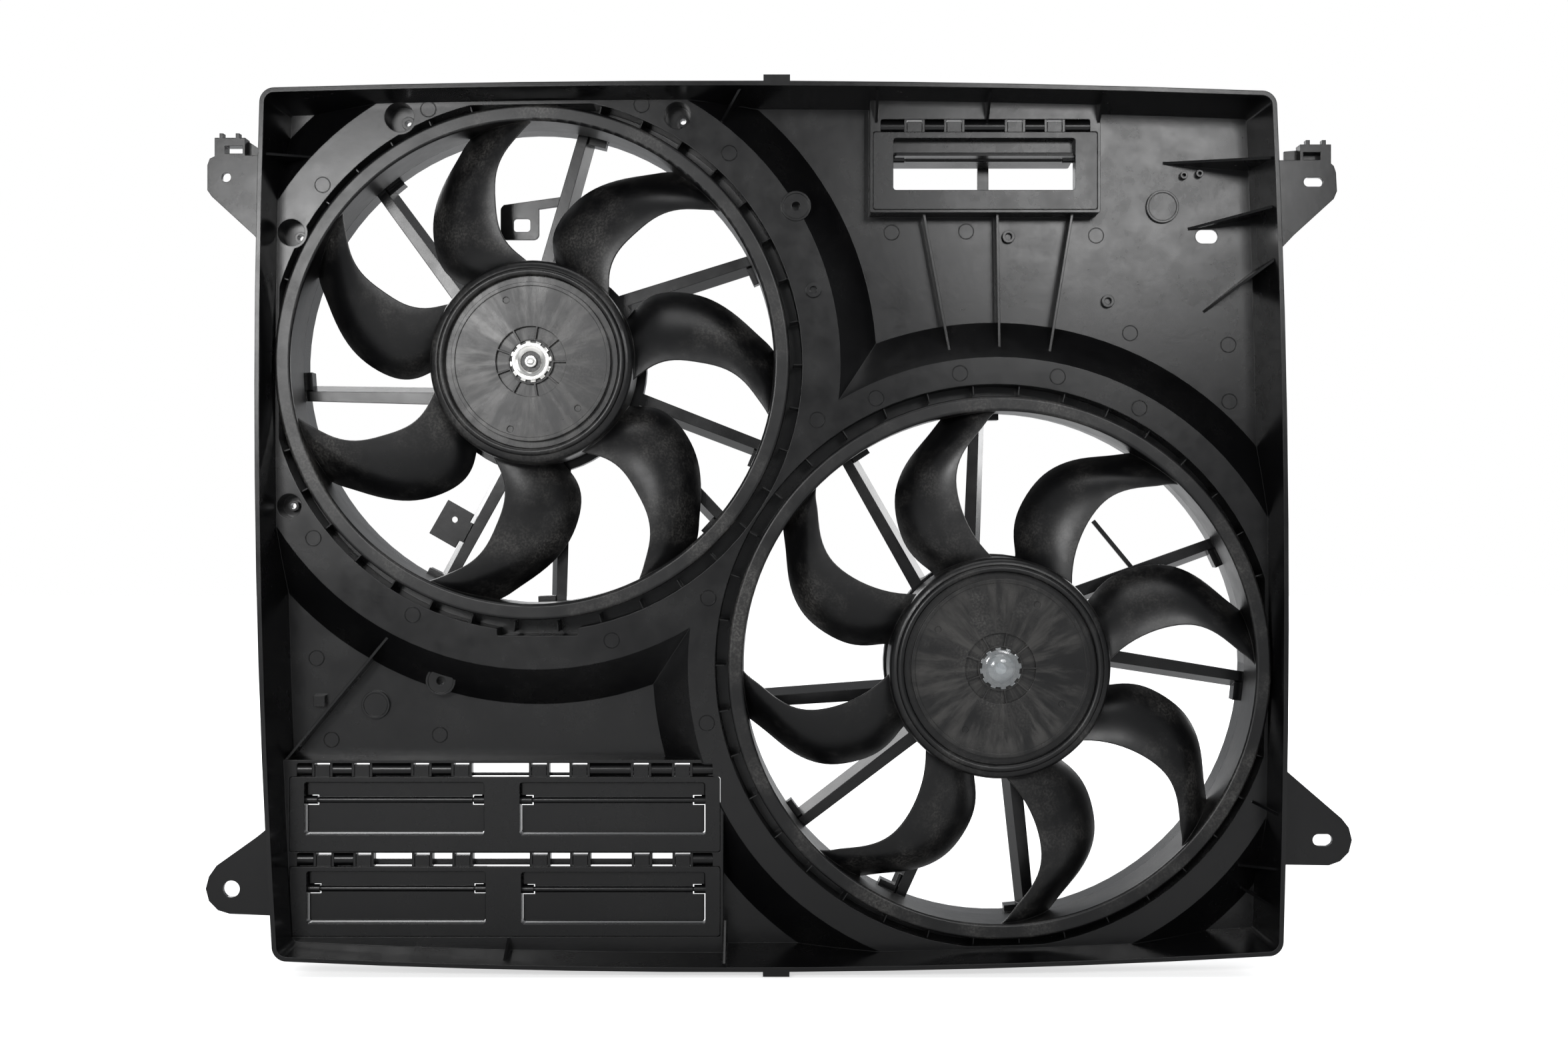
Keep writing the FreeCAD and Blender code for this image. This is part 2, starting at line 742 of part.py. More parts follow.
def make_screws(side):
    """Three screws that hold the flange's ears on the motor ring, as one group of solids."""
    reach = screw_circle(side)
    front = size("motor_ring_front") - size("flange_thickness")
    head = size("motor_screw_head")
    height = size("motor_screw_head_height")
    screws = []
    for turn_angle in (0, 120, 240):
        shank = Part.makeCylinder(
            size("motor_screw_radius"), size("motor_screw_reach") + 0.5,
            Vector(reach, front - 0.5, 0), Vector(0, 1, 0))
        cap = Part.makeCylinder(head, height, Vector(reach, front - height, 0), Vector(0, 1, 0))
        socket = Part.makePolygon([
            Vector(reach + 2.4 * math.cos(math.radians(60 * k)), front - height,
                   2.4 * math.sin(math.radians(60 * k))) for k in range(7)])
        recess = Part.Face(socket).extrude(Vector(0, 2, 0))
        screw = shank.fuse(cap).cut(recess).removeSplitter()
        screw.rotate(Vector(0, 0, 0), Vector(0, 1, 0), turn_angle)
        screws.append(screw)
    group = feature(f"motor_screws_{side}", Part.makeCompound(screws))
    group.Placement = FreeCAD.Placement(
        Vector(size(f"{side}_fan_across"), 0, size(f"{side}_fan_up")), FreeCAD.Rotation())
    node(f"motor_screws_{side}", group)


def sector(inner, outer, start, length, low, high):
    """Piece of a thick ring between two angles, in degrees."""
    profile = Part.makePolygon([
        Vector(inner, start, 0), Vector(outer, start, 0), Vector(outer, start + length, 0),
        Vector(inner, start + length, 0), Vector(inner, start, 0)])
    face = Part.Face(profile)
    face.rotate(Vector(0, 0, 0), Vector(0, 1, 0), low)
    return face.revolve(Vector(0, 0, 0), Vector(0, 1, 0), high - low)


def on_axis(side, name, shape):
    """Part::Feature with its shape placed on one of the fan axes."""
    thing = feature(name, shape)
    thing.Placement = FreeCAD.Placement(
        Vector(size(f"{side}_fan_across"), 0, size(f"{side}_fan_up")), FreeCAD.Rotation())
    return node(name, thing)


def make_magnets(side):
    """Four arc magnets against the can's inner wall."""
    outer = size(f"{side}_can_radius") - size("can_wall")
    inner = outer - size("magnet_thickness")
    start = size("magnet_front")
    length = size("magnet_rear") - start
    arcs = [sector(inner, outer, start, length, 90 * k - 36, 90 * k + 36) for k in range(4)]
    on_axis(side, f"magnets_{side}", Part.makeCompound(arcs))


def core_radius(side):
    """Armature radius that leaves the air gap to the magnets."""
    return size(f"{side}_can_radius") - size("can_wall") - size("magnet_thickness") - size("air_gap")


def make_armature(side):
    """Shaft, slotted core, windings and commutator; all turn with the wheel."""
    shaft = body(f"shaft_{side}", centre_of(side))
    radius = size("shaft_radius")
    rear = size("can_rear") + size("bell_thickness") + 2.6
    turn(shaft, f"{side}_shaft_rod", polygon([
        (0, size("shaft_front")), (radius - 0.6, size("shaft_front")),
        (radius, size("shaft_front") + 0.6), (radius, rear), (0, rear),
    ]))
    outer = core_radius(side)
    slots = int(size("core_slots"))
    depth = size("core_slot_depth")
    half = size("core_slot_width") / 2
    core = body(f"armature_core_{side}", centre_of(side))
    band = circle((0, 0), outer) + circle((0, 0), radius)
    disc = facing_sketch(core, f"{side}_core_outline", band, "Sizes.core_front")
    pad(core, f"{side}_core", disc, "Sizes.core_rear - Sizes.core_front")
    notch = polygon([
        (outer - depth, -half), (outer + 1, -half * 0.5), (outer + 1, half * 0.5), (outer - depth, half)])
    notch_sketch = facing_sketch(core, f"{side}_core_notch", notch, "Sizes.core_front")
    slot = pocket(core, f"{side}_core_slot", notch_sketch, "Sizes.core_rear - Sizes.core_front")
    around(core, f"{side}_core_slots", [slot], "Sizes.core_slots")
    overhang = size("winding_overhang")
    coil_outer = outer - 2.0
    coil_inner = outer - depth + 0.4
    front = size("core_front")
    back = size("core_rear")
    coils = sector(coil_inner, coil_outer, front - overhang, overhang, 0, 360)
    coils = coils.fuse(sector(coil_inner, coil_outer, back, overhang, 0, 360))
    for index in range(slots):
        bar = Part.makeBox(
            depth - 4.0, back - front + 2, half * 0.9, Vector(coil_inner + 0.5, front - 1, -half * 0.45))
        bar.rotate(Vector(0, 0, 0), Vector(0, 1, 0), 360 / slots * index)
        coils = coils.fuse(bar)
    on_axis(side, f"windings_{side}", coils)
    drum = body(f"commutator_{side}", centre_of(side))
    bars = int(size("core_slots"))
    ring = circle((0, 0), size("commutator_radius")) + circle((0, 0), radius)
    drum_sketch = facing_sketch(drum, f"{side}_drum_outline", ring, "Sizes.commutator_front")
    pad(drum, f"{side}_drum", drum_sketch, "Sizes.commutator_rear - Sizes.commutator_front")
    groove = polygon([
        (size("commutator_radius") - 1, -0.3), (size("commutator_radius") + 1, -0.3),
        (size("commutator_radius") + 1, 0.3), (size("commutator_radius") - 1, 0.3)])
    groove_sketch = facing_sketch(drum, f"{side}_bar_gap", groove, "Sizes.commutator_front")
    gap = pocket(
        drum, f"{side}_bar_cut", groove_sketch, "Sizes.commutator_rear - Sizes.commutator_front")
    pattern = around(drum, f"{side}_bar_cuts", [gap], "Sizes.core_slots")
    pattern.Label = f"{side}_{bars}_bar_cuts"


def make_brush_gear(side):
    """Brush plate with two guides, and the two carbon brushes in them."""
    inner = size(f"{side}_can_radius") - size("can_wall")
    start = size("commutator_rear") - size("brush_height") - 2 * size("brush_plate_thickness")
    thick = size("brush_plate_thickness")
    wide = size("brush_width")
    tall = size("brush_height")
    nose = size("commutator_radius") + size("brush_gap")
    plate = sector(nose + 1.2, inner, start, thick, 0, 360)
    carbons = []
    for turn_angle in (0, 180):
        guide = Part.makeBox(
            size("brush_length") + 2, tall + thick, wide + 2 * thick,
            Vector(nose + 2, start + thick, -wide / 2 - thick))
        tunnel = Part.makeBox(
            size("brush_length") + 4, tall, wide, Vector(nose + 1, start + thick, -wide / 2))
        guide = guide.cut(tunnel)
        carbon = Part.makeBox(
            size("brush_length"), tall, wide, Vector(nose, start + thick, -wide / 2))
        for piece in (guide, carbon):
            piece.rotate(Vector(0, 0, 0), Vector(0, 1, 0), turn_angle)
        plate = plate.fuse(guide)
        carbons.append(carbon)
    on_axis(side, f"brush_plate_{side}", plate.removeSplitter())
    on_axis(side, f"brushes_{side}", Part.makeCompound(carbons))


# outer angle and inner angle of each stator arm, degrees counter-clockwise from +X
STATOR_ARMS = {
    "left": [
        (132.3, 139.9), (79.4, 86.3), (26.9, 39.1), (340.5, 342.5), (320.4, 329.4), (275.2, 283.8),
        (246.8, 253.8), (187.0, 197.6),
    ],
    "right": [
        (125.9, 134.6), (94.2, 103.0), (28.7, 40.9), (356.9, 5.0), (278.4, 281.7), (248.3, 251.5),
        (219.8, 223.0), (189.1, 196.1),
    ],
}

# carriers: plate corners, row of clips above the plate, clip places, bar segments and windows
CARRIERS = {
    "upper": {
        "low": (69.7, 219.8), "high": (224.6, 273.3), "row_top": 282.1,
        "clips": (98.2, 125.7, 167.7, 195.2), "bars": (0, 1, 2, 3, 4), "sill": 0.0,
        "windows": {"upper": ((83.5, 233.2), (209.4, 269.1))},
    },
    "middle": {
        "low": (-334.0, -224.6), "high": (-36.4, -172.9), "row_top": -163.3,
        "clips": (-311.5, -284.0, -243.0, -215.2, -161.5, -133.5, -91.0, -62.5),
        "bars": (0, 1, 2, 3, 6, 7, 8), "sill": 2.0,
        "windows": {
            "middle_left": ((-324.0, -213.0), (-199.5, -176.5)),
            "middle_right": ((-175.0, -213.2), (-46.5, -176.7)),
        },
    },
    "lower": {
        "low": (-334.0, -283.1), "high": (-36.4, -235.0), "row_top": -225.4,
        "clips": (-310.5, -283.0, -242.4, -214.5, -160.9, -133.0, -90.4, -62.2),
        "bars": (0, 1, 8), "sill": 4.0,
        "windows": {
            "lower_left": ((-322.5, -274.4), (-198.5, -238.2)),
            "lower_right": ((-174.0, -274.8), (-46.5, -238.8)),
        },
    },
}


# corners of the rim in front view, before they are rounded, clockwise from the upper left
RIM_CORNERS = ((-346.3, 297.0), (340.8, 294.8), (345.2, -289.8), (-338.0, -293.4))


def rim_outline(inset):
    """Crowned four-sided outline with rounded corners, moved inwards by `inset`."""
    bend = max(size("rim_corner_radius") - inset, 2.0)
    short = bend * (1 - math.sqrt(0.5))
    crowns = (
        (0, size("rim_top_mid") - inset), (size("rim_right_mid") - inset, 0),
        (0, inset - size("rim_bottom_mid")), (inset - size("rim_left_mid"), 0),
    )
    bends = []
    for index, (x, z) in enumerate(RIM_CORNERS):
        inward_x = -math.copysign(1, x)
        inward_z = -math.copysign(1, z)
        x += inward_x * inset
        z += inward_z * inset
        level = (x + inward_x * bend, z)
        upright = (x, z + inward_z * bend)
        middle = (x + inward_x * short, z + inward_z * short)
        clockwise = (upright, middle, level) if index % 2 == 0 else (level, middle, upright)
        bends.append(clockwise)
    outline = []
    for index, (start, middle, end) in enumerate(bends):
        outline.append(arc(start, middle, end))
        outline.append(arc(end, crowns[index], bends[(index + 1) % 4][0]))
    return outline


def rim_block(name, inset, start, end):
    """Block between two depths whose sides follow the rim's outline and its draft."""
    slope = size("rim_draft") / size("floor_depth")
    sections = []
    for label, depth in (("front", start), ("back", end)):
        sketch = DOC.addObject("Sketcher::SketchObject", f"{name}_{label}")
        sketch.Placement = FreeCAD.Placement(Vector(0, depth, 0), FACING)
        sketch.addGeometry(rim_outline(inset + slope * max(depth, 0.0)), False)
        sections.append(sketch)
    block = DOC.addObject("Part::Loft", name)
    block.Sections = sections
    block.Solid = True
    block.Ruled = True
    return block


def mesa(name, side, front, shrink):
    """Raised cone round a fan, from a front depth (formula) back past the shroud's floor."""
    slope = "Sizes.slope_run / (Sizes.floor_depth - Sizes.plateau_depth)"
    length = "Sizes.floor_depth + Sizes.skin - Sizes.plateau_depth"
    front_radius = f"Sizes.{side}_mesa_radius - {shrink}"
    rear_radius = f"{front_radius} + {slope} * ({length})"
    return cone(name, front_radius, rear_radius, front, length, axis_of(side))


def block(name, low, high, start, length):
    """Box in front view between two corners, from one depth over a length, both formulas."""
    return prism(name, rounded_rectangle(low, high, 1.5), start, length)


def inset_corners(low, high, inset):
    """Corners of a rectangle moved inwards by the same amount all round."""
    return (low[0] + inset, low[1] + inset), (high[0] - inset, high[1] - inset)


def carrier_boxes():
    """Raised boxes of the shroud that hold the flap carriers: outer corners of each."""
    wall = size("box_wall")
    upper = CARRIERS["upper"]
    middle = CARRIERS["middle"]
    lower = CARRIERS["lower"]
    top_wall = size("rim_top_mid") + 4
    bottom_wall = -size("rim_bottom_mid") - 4
    side_wall = -size("rim_left_mid") - 4
    return {
        "upper": ((upper["low"][0] - wall, upper["low"][1] - wall), (upper["high"][0] + wall, top_wall)),
        "louvre": ((side_wall, bottom_wall), (middle["high"][0] + wall, middle["row_top"] + wall)),
        "louvre_base": (lower["low"], lower["high"]),
    }


def front_void(inner):
    """Air in front of the shroud's skin: the rim's inside less plateau, slopes and boxes."""
    boxes = carrier_boxes()
    reach = "Sizes.floor_depth + Sizes.skin + 1 - Sizes.carrier_front"
    big = size("rim_right_mid") + 20
    keep = fuse(
        "front_forms",
        mesa("left_mesa", "left", "Sizes.plateau_depth", "0"),
        mesa("right_mesa", "right", "Sizes.plateau_depth", "0"),
        block("floor_slab", (-big, -big), (big, big), "Sizes.floor_depth", "Sizes.skin + 1"),
        block("upper_box", *boxes["upper"], "Sizes.carrier_front", reach),
        block("louvre_box", *boxes["louvre"], "Sizes.carrier_front", reach),
    )
    return cut("front_void", inner, keep)


def rear_void(inner):
    """Air behind the skin: the same forms moved back and in by the skin's thickness."""
    boxes = carrier_boxes()
    start = "Sizes.carrier_front + Sizes.carrier_plate + Sizes.skin"
    reach = "Sizes.floor_depth - Sizes.carrier_front"
    shift = (
        "(sqrt(Sizes.slope_run ^ 2 + (Sizes.floor_depth - Sizes.plateau_depth) ^ 2)"
        " - Sizes.slope_run) / (Sizes.floor_depth - Sizes.plateau_depth) * Sizes.skin"
    )
    wall = size("box_wall")
    behind = "Sizes.plateau_depth + Sizes.skin"
    hollow = fuse(
        "rear_forms",
        mesa("left_mesa_back", "left", behind, shift),
        mesa("right_mesa_back", "right", behind, shift),
        block("upper_box_back", *inset_corners(*boxes["upper"], wall), start, reach),
        block("louvre_box_back", *inset_corners(*boxes["louvre"], wall), start, reach),
    )
    return common("rear_void", hollow, inner)


def carrier_cuts():
    """Recesses, air openings and clip rows that the carriers need in the shroud."""
    cuts = []
    clearance = size("seat_clearance")
    flange = size("seat_flange")
    for name, spec in CARRIERS.items():
        low, high = spec["low"], spec["high"]
        windows = list(spec["windows"].values())
        top = max(corner[1] for _, corner in windows) + size("collar_wall") + clearance
        recess = (low[0] - clearance, low[1] - clearance), (high[0] + clearance, high[1] + clearance)
        cuts.append(block(
            f"{name}_recess", *recess, "Sizes.carrier_front - 2", "Sizes.carrier_plate + 2"))
        cuts.append(block(
            f"{name}_opening", (low[0] + flange, low[1] + flange), (high[0] - flange, top),
            "Sizes.carrier_front", "40"))
        row = (low[0] + flange, high[1] - 0.5), (high[0] - flange, spec["row_top"])
        cuts.append(block(f"{name}_row", *row, "Sizes.carrier_front - 2", "42"))
    return cuts


def clip_row(name, spec):
    """Round bars, lugs and thin pins above one carrier, where its clips hook on."""
    forms = []
    left = spec["low"][0] + size("seat_flange")
    right = spec["high"][0] - size("seat_flange")
    bottom, top = spec["high"][1], spec["row_top"]
    middle = (bottom + top) / 2
    half = size("clip_width") / 2
    lug = size("clip_lug")
    depth = size("rod_depth")
    edges = [left]
    for place in spec["clips"]:
        edges += [place - half - lug, place + half + lug]
        for x in (place - half - lug, place + half):
            forms.append(Part.makeBox(lug, 9.0, top - bottom, Vector(x, depth - 4.6, bottom)))
        forms.append(Part.makeCylinder(
            size("clip_pin_radius"), 2 * half + 2, Vector(place - half - 1, depth, middle),
            Vector(1, 0, 0)))
    edges.append(right)
    radius = min(size("rod_radius"), (top - bottom) / 2 - 0.05)
    for index in spec["bars"]:
        start, end = edges[2 * index] - 1, edges[2 * index + 1] + 1
        bar = Part.makeCylinder(radius, end - start, Vector(start, depth, middle), Vector(1, 0, 0))
        web = Part.makeBox(end - start, 2.0, top - bottom + 2, Vector(start, depth + 1, bottom - 1))
        forms += [bar, web]
    if spec["sill"]:
        corner = Vector(left - 1, depth + 3.8, bottom)
        forms.append(Part.makeBox(right - left + 2, 2.2, spec["sill"], corner))
    return forms


def polar(side, radius, angle, depth):
    """Point at a radius and angle round a fan axis."""
    turned = math.radians(angle)
    return Vector(
        size(f"{side}_fan_across") + radius * math.cos(turned), depth,
        size(f"{side}_fan_up") + radius * math.sin(turned))


def vane(start, end, front_width, lean, front, depth):
    """Stator arm between two points: a leaning rib, wider at its root than at its tip."""
    along = end.sub(start).normalize()
    across = Vector(0, 1, 0).cross(along)
    wires = []
    for point, width in ((start, front_width[0]), (end, front_width[1])):
        corners = []
        for side_sign, depth_share in ((-1, 0), (1, 0), (1, 1), (-1, 1)):
            half = width / 2 if depth_share == 0 else width / 3
            offset = across * (side_sign * half + lean * depth_share)
            corners.append(Vector(point.x, front + depth * depth_share, point.z) + offset)
        wires.append(Part.makePolygon(corners + corners[:1]))
    return Part.makeLoft(wires, True, True)


def tangent_box(side, radii, angle, half_width, depths):
    """Box square to the radius at an angle round a fan axis."""
    (inner, outer), (front, rear) = radii, depths
    form = Part.makeBox(outer - inner, rear - front, 2 * half_width, Vector(inner, front, -half_width))
    form.rotate(Vector(0, 0, 0), Vector(0, 1, 0), -angle)
    form.translate(polar(side, 0, 0, 0))
    return form


def stator(side):
    """Arms from the stator ring to the motor ring, each with a block at the stator ring."""
    outer = size(f"{side}_tip_radius") + size("stator_ring_gap") + 1.0
    inner = size(f"{side}_motor_ring") - 1.5
    front = size("arm_front")
    depth = size("arm_depth")
    widths = (size("arm_root"), size("arm_tip"))
    arms = []
    for outer_angle, inner_angle in STATOR_ARMS[side]:
        start = polar(side, inner, inner_angle, front)
        end = polar(side, outer, outer_angle, front)
        arms.append(vane(start, end, widths, size("arm_lean"), front, depth))
        arms.append(tangent_box(side, (outer - 6, outer), outer_angle - 3.0, 8.0, (front + 3, front + 15)))
    return arms


# shallow bay below the left fan: two corners in front view
BAY_NOTCH = ((-190.5, -75.0), (-134.5, -60.0))


def bay_forms(side):
    """Barrel and stator ring of one fan bay, with the air that is taken out of them."""
    ring_inner = f"Sizes.{side}_tip_radius + Sizes.stator_ring_gap"
    ring_outer = f"{ring_inner} + Sizes.bay_wall"
    centre = axis_of(side)
    barrel = cylinder(
        f"{side}_barrel", f"Sizes.{side}_bay_radius + Sizes.bay_wall", "Sizes.plateau_depth",
        "Sizes.bay_rear - Sizes.plateau_depth", centre)
    ring = cylinder(
        f"{side}_stator_ring", ring_outer, "Sizes.bay_rear - 1",
        "Sizes.stator_ring_rear - Sizes.bay_rear + 1", centre)
    air = cylinder(
        f"{side}_bay_air", f"Sizes.{side}_bay_radius", "Sizes.ring_front - 4",
        "Sizes.bay_rear - Sizes.bay_wall - Sizes.ring_front + 4", centre)
    bore = cylinder(f"{side}_bore", ring_inner, "Sizes.ring_front", "100", centre)
    return barrel, ring, air, bore


def labyrinth(side):
    """Thin radial ribs in the gap round the wheel."""
    outer = size(f"{side}_bay_radius") + 1
    inner = size(f"{side}_lip_radius") + size("wheel_gap")
    width = size("labyrinth_rib_width")
    front = size("labyrinth_front")
    rear = size("bay_rear") - size("bay_wall") + 1
    count = int(size("labyrinth_ribs"))
    centre = polar(side, 0, 0, 0)
    ribs = []
    for index in range(count):
        rib = Part.makeBox(outer - inner, rear - front, width, Vector(inner, front, -width / 2))
        rib.rotate(Vector(0, 0, 0), Vector(0, 1, 0), 360 / count * index)
        rib.translate(centre)
        ribs.append(rib)
    return ribs


def motor_ring(side):
    """Ring behind the hub that carries the motor, with pilot holes for its three screws."""
    front = size("motor_ring_front")
    depth = size("motor_ring_depth")
    centre = polar(side, 0, 0, front)
    outer = Part.makeCylinder(size(f"{side}_motor_ring"), depth, centre, Vector(0, 1, 0))
    bore = Part.makeCylinder(
        size(f"{side}_can_radius") + size("can_clearance"), depth, centre, Vector(0, 1, 0))
    ring = outer.cut(bore)
    for angle in (0, 120, 240):
        hole = Part.makeCylinder(
            size("motor_screw_radius") + 0.05, depth, polar(side, screw_circle(side), -angle, front),
            Vector(0, 1, 0))
        ring = ring.cut(hole)
    return ring


# middle of each ear's hole or slot
EAR_HOLES = {
    "upper_left": (-374.1, 239.7), "upper_right": (370.7, 236.5), "lower_left": (-370.7, -248.0),
    "lower_right": (376.8, -214.4),
}

# straight corners of each ear's plate, from the rim round its free end
EARS = {
    "upper_left": [
        (-343.2, 254.8), (-380.5, 254.8), (-385.5, 252.5), (-387.1, 248.0), (-387.1, 230.8),
        (-384.0, 226.4), (-355.0, 199.8), (-351.8, 196.0), (-344.2, 189.0),
    ],
    "upper_right": [
        (339.8, 251.4), (380.0, 251.4), (384.5, 247.5), (386.0, 243.0), (386.7, 230.2), (384.5, 224.9),
        (356.9, 199.8), (350.4, 192.9), (342.2, 185.0),
    ],
    "lower_left": [
        (-340.4, -202.0), (-353.3, -212.4), (-380.8, -232.0), (-386.0, -239.4), (-388.2, -247.8),
        (-386.0, -256.2), (-379.9, -262.5), (-371.8, -265.0), (-336.8, -266.4),
    ],
    "lower_right": [
        (344.0, -160.0), (358.5, -172.6), (390.0, -199.8), (394.8, -206.0), (396.9, -214.4),
        (394.8, -222.8), (388.7, -229.0), (381.0, -231.8), (342.9, -231.2),
    ],
}

# clip box on top of each upper ear: outer corners, window corners and the two prongs' middles
EAR_CLIPS = {
    "upper_left": {
        "low": (-382.1, 253.0), "high": (-361.3, 266.8), "window": ((-375.1, 256.0), (-362.9, 261.3)),
        "prongs": (-377.5, -366.4), "web": (-354.3, 255.2),
    },
    "upper_right": {
        "low": (361.5, 248.0), "high": (382.6, 262.2), "window": ((363.6, 251.6), (375.4, 256.9)),
        "prongs": (366.8, 377.8), "web": (352.8, 253.0),
    },
}


def ear_plates():
    """Four fixing ears with a round hole on the left and a slot on the right."""
    small = size("ear_small_hole")
    large = size("ear_large_hole")
    slot = size("ear_slot_length")
    half = size("ear_slot_half_width")
    holes = {
        "upper_left": circle(EAR_HOLES["upper_left"], small),
        "upper_right": slot_outline(EAR_HOLES["upper_right"], slot, small),
        "lower_left": circle(EAR_HOLES["lower_left"], large),
        "lower_right": slot_outline(EAR_HOLES["lower_right"], slot, half),
    }
    plates = []
    for name, points in EARS.items():
        plates.append(prism(
            f"{name}_ear", polygon(points) + holes[name], "Sizes.ear_front", "Sizes.ear_plate"))
    return plates


def ear_clips():
    """Cable clip boxes on the upper ears: frame with a window, two prongs and a sloping web."""
    front = size("ear_front")
    depth = size("ear_clip_depth")
    forms = []
    for spec in EAR_CLIPS.values():
        (x0, z0), (x1, z1) = spec["low"], spec["high"]
        (wx0, wz0), (wx1, wz1) = spec["window"]
        frame = Part.makeBox(x1 - x0, depth, z1 - z0, Vector(x0, front, z0))
        frame = frame.cut(Part.makeBox(wx1 - wx0, depth, wz1 - wz0, Vector(wx0, front, wz0)))
        forms.append(frame)
        for middle in spec["prongs"]:
            forms.append(Part.makeBox(2.6, depth / 2, 5.0, Vector(middle - 1.3, front, z1 - 2)))
        side = x1 if abs(spec["web"][0]) < abs(x1) else x0
        corners = [(side, z0), (side, z1 - 1), (spec["web"][0], spec["web"][1] + 6), spec["web"]]
        outline = [Vector(x, front + depth - 3, z) for x, z in corners]
        face = Part.Face(Part.makePolygon(outline + outline[:1]))
        forms.append(face.extrude(Vector(0, 3, 0)))
    return forms


# stiffening ribs with a level front edge: two ends in front view and the depth of that edge
LEVEL_RIBS = [
    ((104.9, 219.0), (124.0, 116.0), 39.0),
    ((156.1, 219.0), (157.7, 116.0), 39.0),
    ((208.4, 219.0), (191.5, 116.0), 39.0),
    ((-257.0, -64.5), (-339.8, -164.5), 36.0),
]

# gussets from the middle of the rim's wall: that end, far tip, depth at the wall and at the tip
WALL_GUSSETS = [
    ((-20.8, 299.6), (-35.2, 280.3), 6.0, 32.5),
    ((71.7, 299.2), (71.7, 279.3), 6.0, 33.5),
    ((148.4, 298.0), (148.4, 279.3), 6.0, 33.5),
    ((225.4, 295.8), (225.4, 279.3), 6.0, 33.5),
    ((341.1, 250.7), (273.2, 255.6), 6.0, 55.5),
    ((342.4, 218.4), (290.8, 209.2), 6.0, 55.5),
    ((343.6, 183.8), (302.0, 150.7), 6.0, 55.5),
    ((-345.0, 253.5), (-303.0, 257.6), 6.0, 50.0),
    ((-182.3, -296.6), (-182.3, -283.6), 6.0, 33.5),
    ((-32.8, -298.8), (-32.8, -272.0), 6.0, 33.5),
    ((345.0, -196.2), (331.0, -189.5), 6.0, 32.5),
    ((344.3, -232.4), (308.3, -235.5), 6.0, 55.5),
    ((343.8, -260.1), (325.0, -251.0), 6.0, 55.5),
]

# screw pockets in the raised faces: middle, radius, offset of the post inside
SCREW_POCKETS = [
    ((-257.9, 283.4), 10.2, (4.0, -2.0)),
    ((-65.8, 284.6), 9.3, (3.4, -2.0)),
    ((-332.6, 203.6), 9.3, (3.6, -2.0)),
    ((-334.0, 14.7), 8.4, (0.0, 0.0)),
]

# round cups and buttons: middle, radius, front depth, rear depth, hole radius
BOSSES = [
    ((16.2, 221.9), 10.4, 31.2, 44.0, 3.0),
    ((-231.9, -107.4), 10.4, 46.0, 57.0, 3.0),
    ((273.4, 224.8), 11.4, 52.0, 56.0, 0.0),
    ((-278.5, -124.8), 9.9, 52.0, 56.0, 0.0),
    ((288.1, 246.5), 2.6, 50.0, 56.0, 1.2),
    ((299.1, 247.7), 2.6, 50.0, 56.0, 1.2),
    ((165.3, 203.6), 4.4, 51.0, 56.0, 2.4),
    ((235.0, 158.4), 4.4, 51.0, 56.0, 2.4),
    ((28.2, 163.9), 5.4, 29.5, 34.0, 2.4),
]


def upright_plate(start, end, corners, thickness):
    """Thin plate standing on a line in front view; corners are (share along it, depth)."""
    low = Vector(start[0], 0, start[1])
    along = Vector(end[0], 0, end[1]).sub(low)
    across = Vector(0, 1, 0).cross(along).normalize() * thickness
    outline = [low + along * share + Vector(0, depth, 0) - across * 0.5 for share, depth in corners]
    return Part.Face(Part.makePolygon(outline + outline[:1])).extrude(across)


def ribs_and_gussets():
    """Ribs across the pockets and wedge gussets round the rim."""
    thickness = size("rib_thickness")
    rear = size("floor_depth") + 1
    forms = []
    for start, end, front in LEVEL_RIBS:
        corners = ((0, front), (1, front), (1, rear), (0, rear))
        forms.append(upright_plate(start, end, corners, thickness))
    for wall, tip, near, far in WALL_GUSSETS:
        draft = (rear - near) * size("rim_draft") / size("floor_depth")
        length = math.hypot(tip[0] - wall[0], tip[1] - wall[1])
        corners = ((0, near), (1, far), (1, far + 1), (draft / length, rear))
        forms.append(upright_plate(wall, tip, corners, thickness))
    return forms


# thin struts on stator arms: fan, then radius and angle of both ends
RIGHT_STRUTS = [
    ("right", ((123.0, 54.5), (119.6, 33.0))),
    ("right", ((162.8, 246.7), (177.0, 246.8))),
]

# raised pads: two corners in front view, front depth and rear depth
PADS = [
    ((-321.3, -125.9), (-313.3, -117.9), 49.0, 56.0),
]


def round_bar(middle, radius, front, rear):
    """Cylinder toward the rear at a point of the front view."""
    return Part.makeCylinder(radius, rear - front, Vector(middle[0], front, middle[1]), Vector(0, 1, 0))


def boss_forms():
    """Cups, buttons and small posts on the shroud, with the air inside them."""
    forms = []
    airs = []
    for low, high, front, rear in PADS:
        corner = Vector(low[0], front, low[1])
        forms.append(Part.makeBox(high[0] - low[0], rear - front, high[1] - low[1], corner))
    for middle, radius, front, rear, hole in BOSSES:
        forms.append(round_bar(middle, radius, front, rear))
        if radius > 9:
            airs.append(round_bar(middle, radius - 1.6, front - 1, front + 0.8))
        if hole:
            airs.append(round_bar(middle, hole, front - 1, rear - 1.5))
    depth = size("plateau_depth") + size("pocket_depth")
    for middle, radius, offset in SCREW_POCKETS:
        forms.append(round_bar(middle, radius + 2, size("plateau_depth"), depth))
        airs.append(round_bar(middle, radius, size("plateau_depth") - 2, depth - 2.5))
    return forms, airs


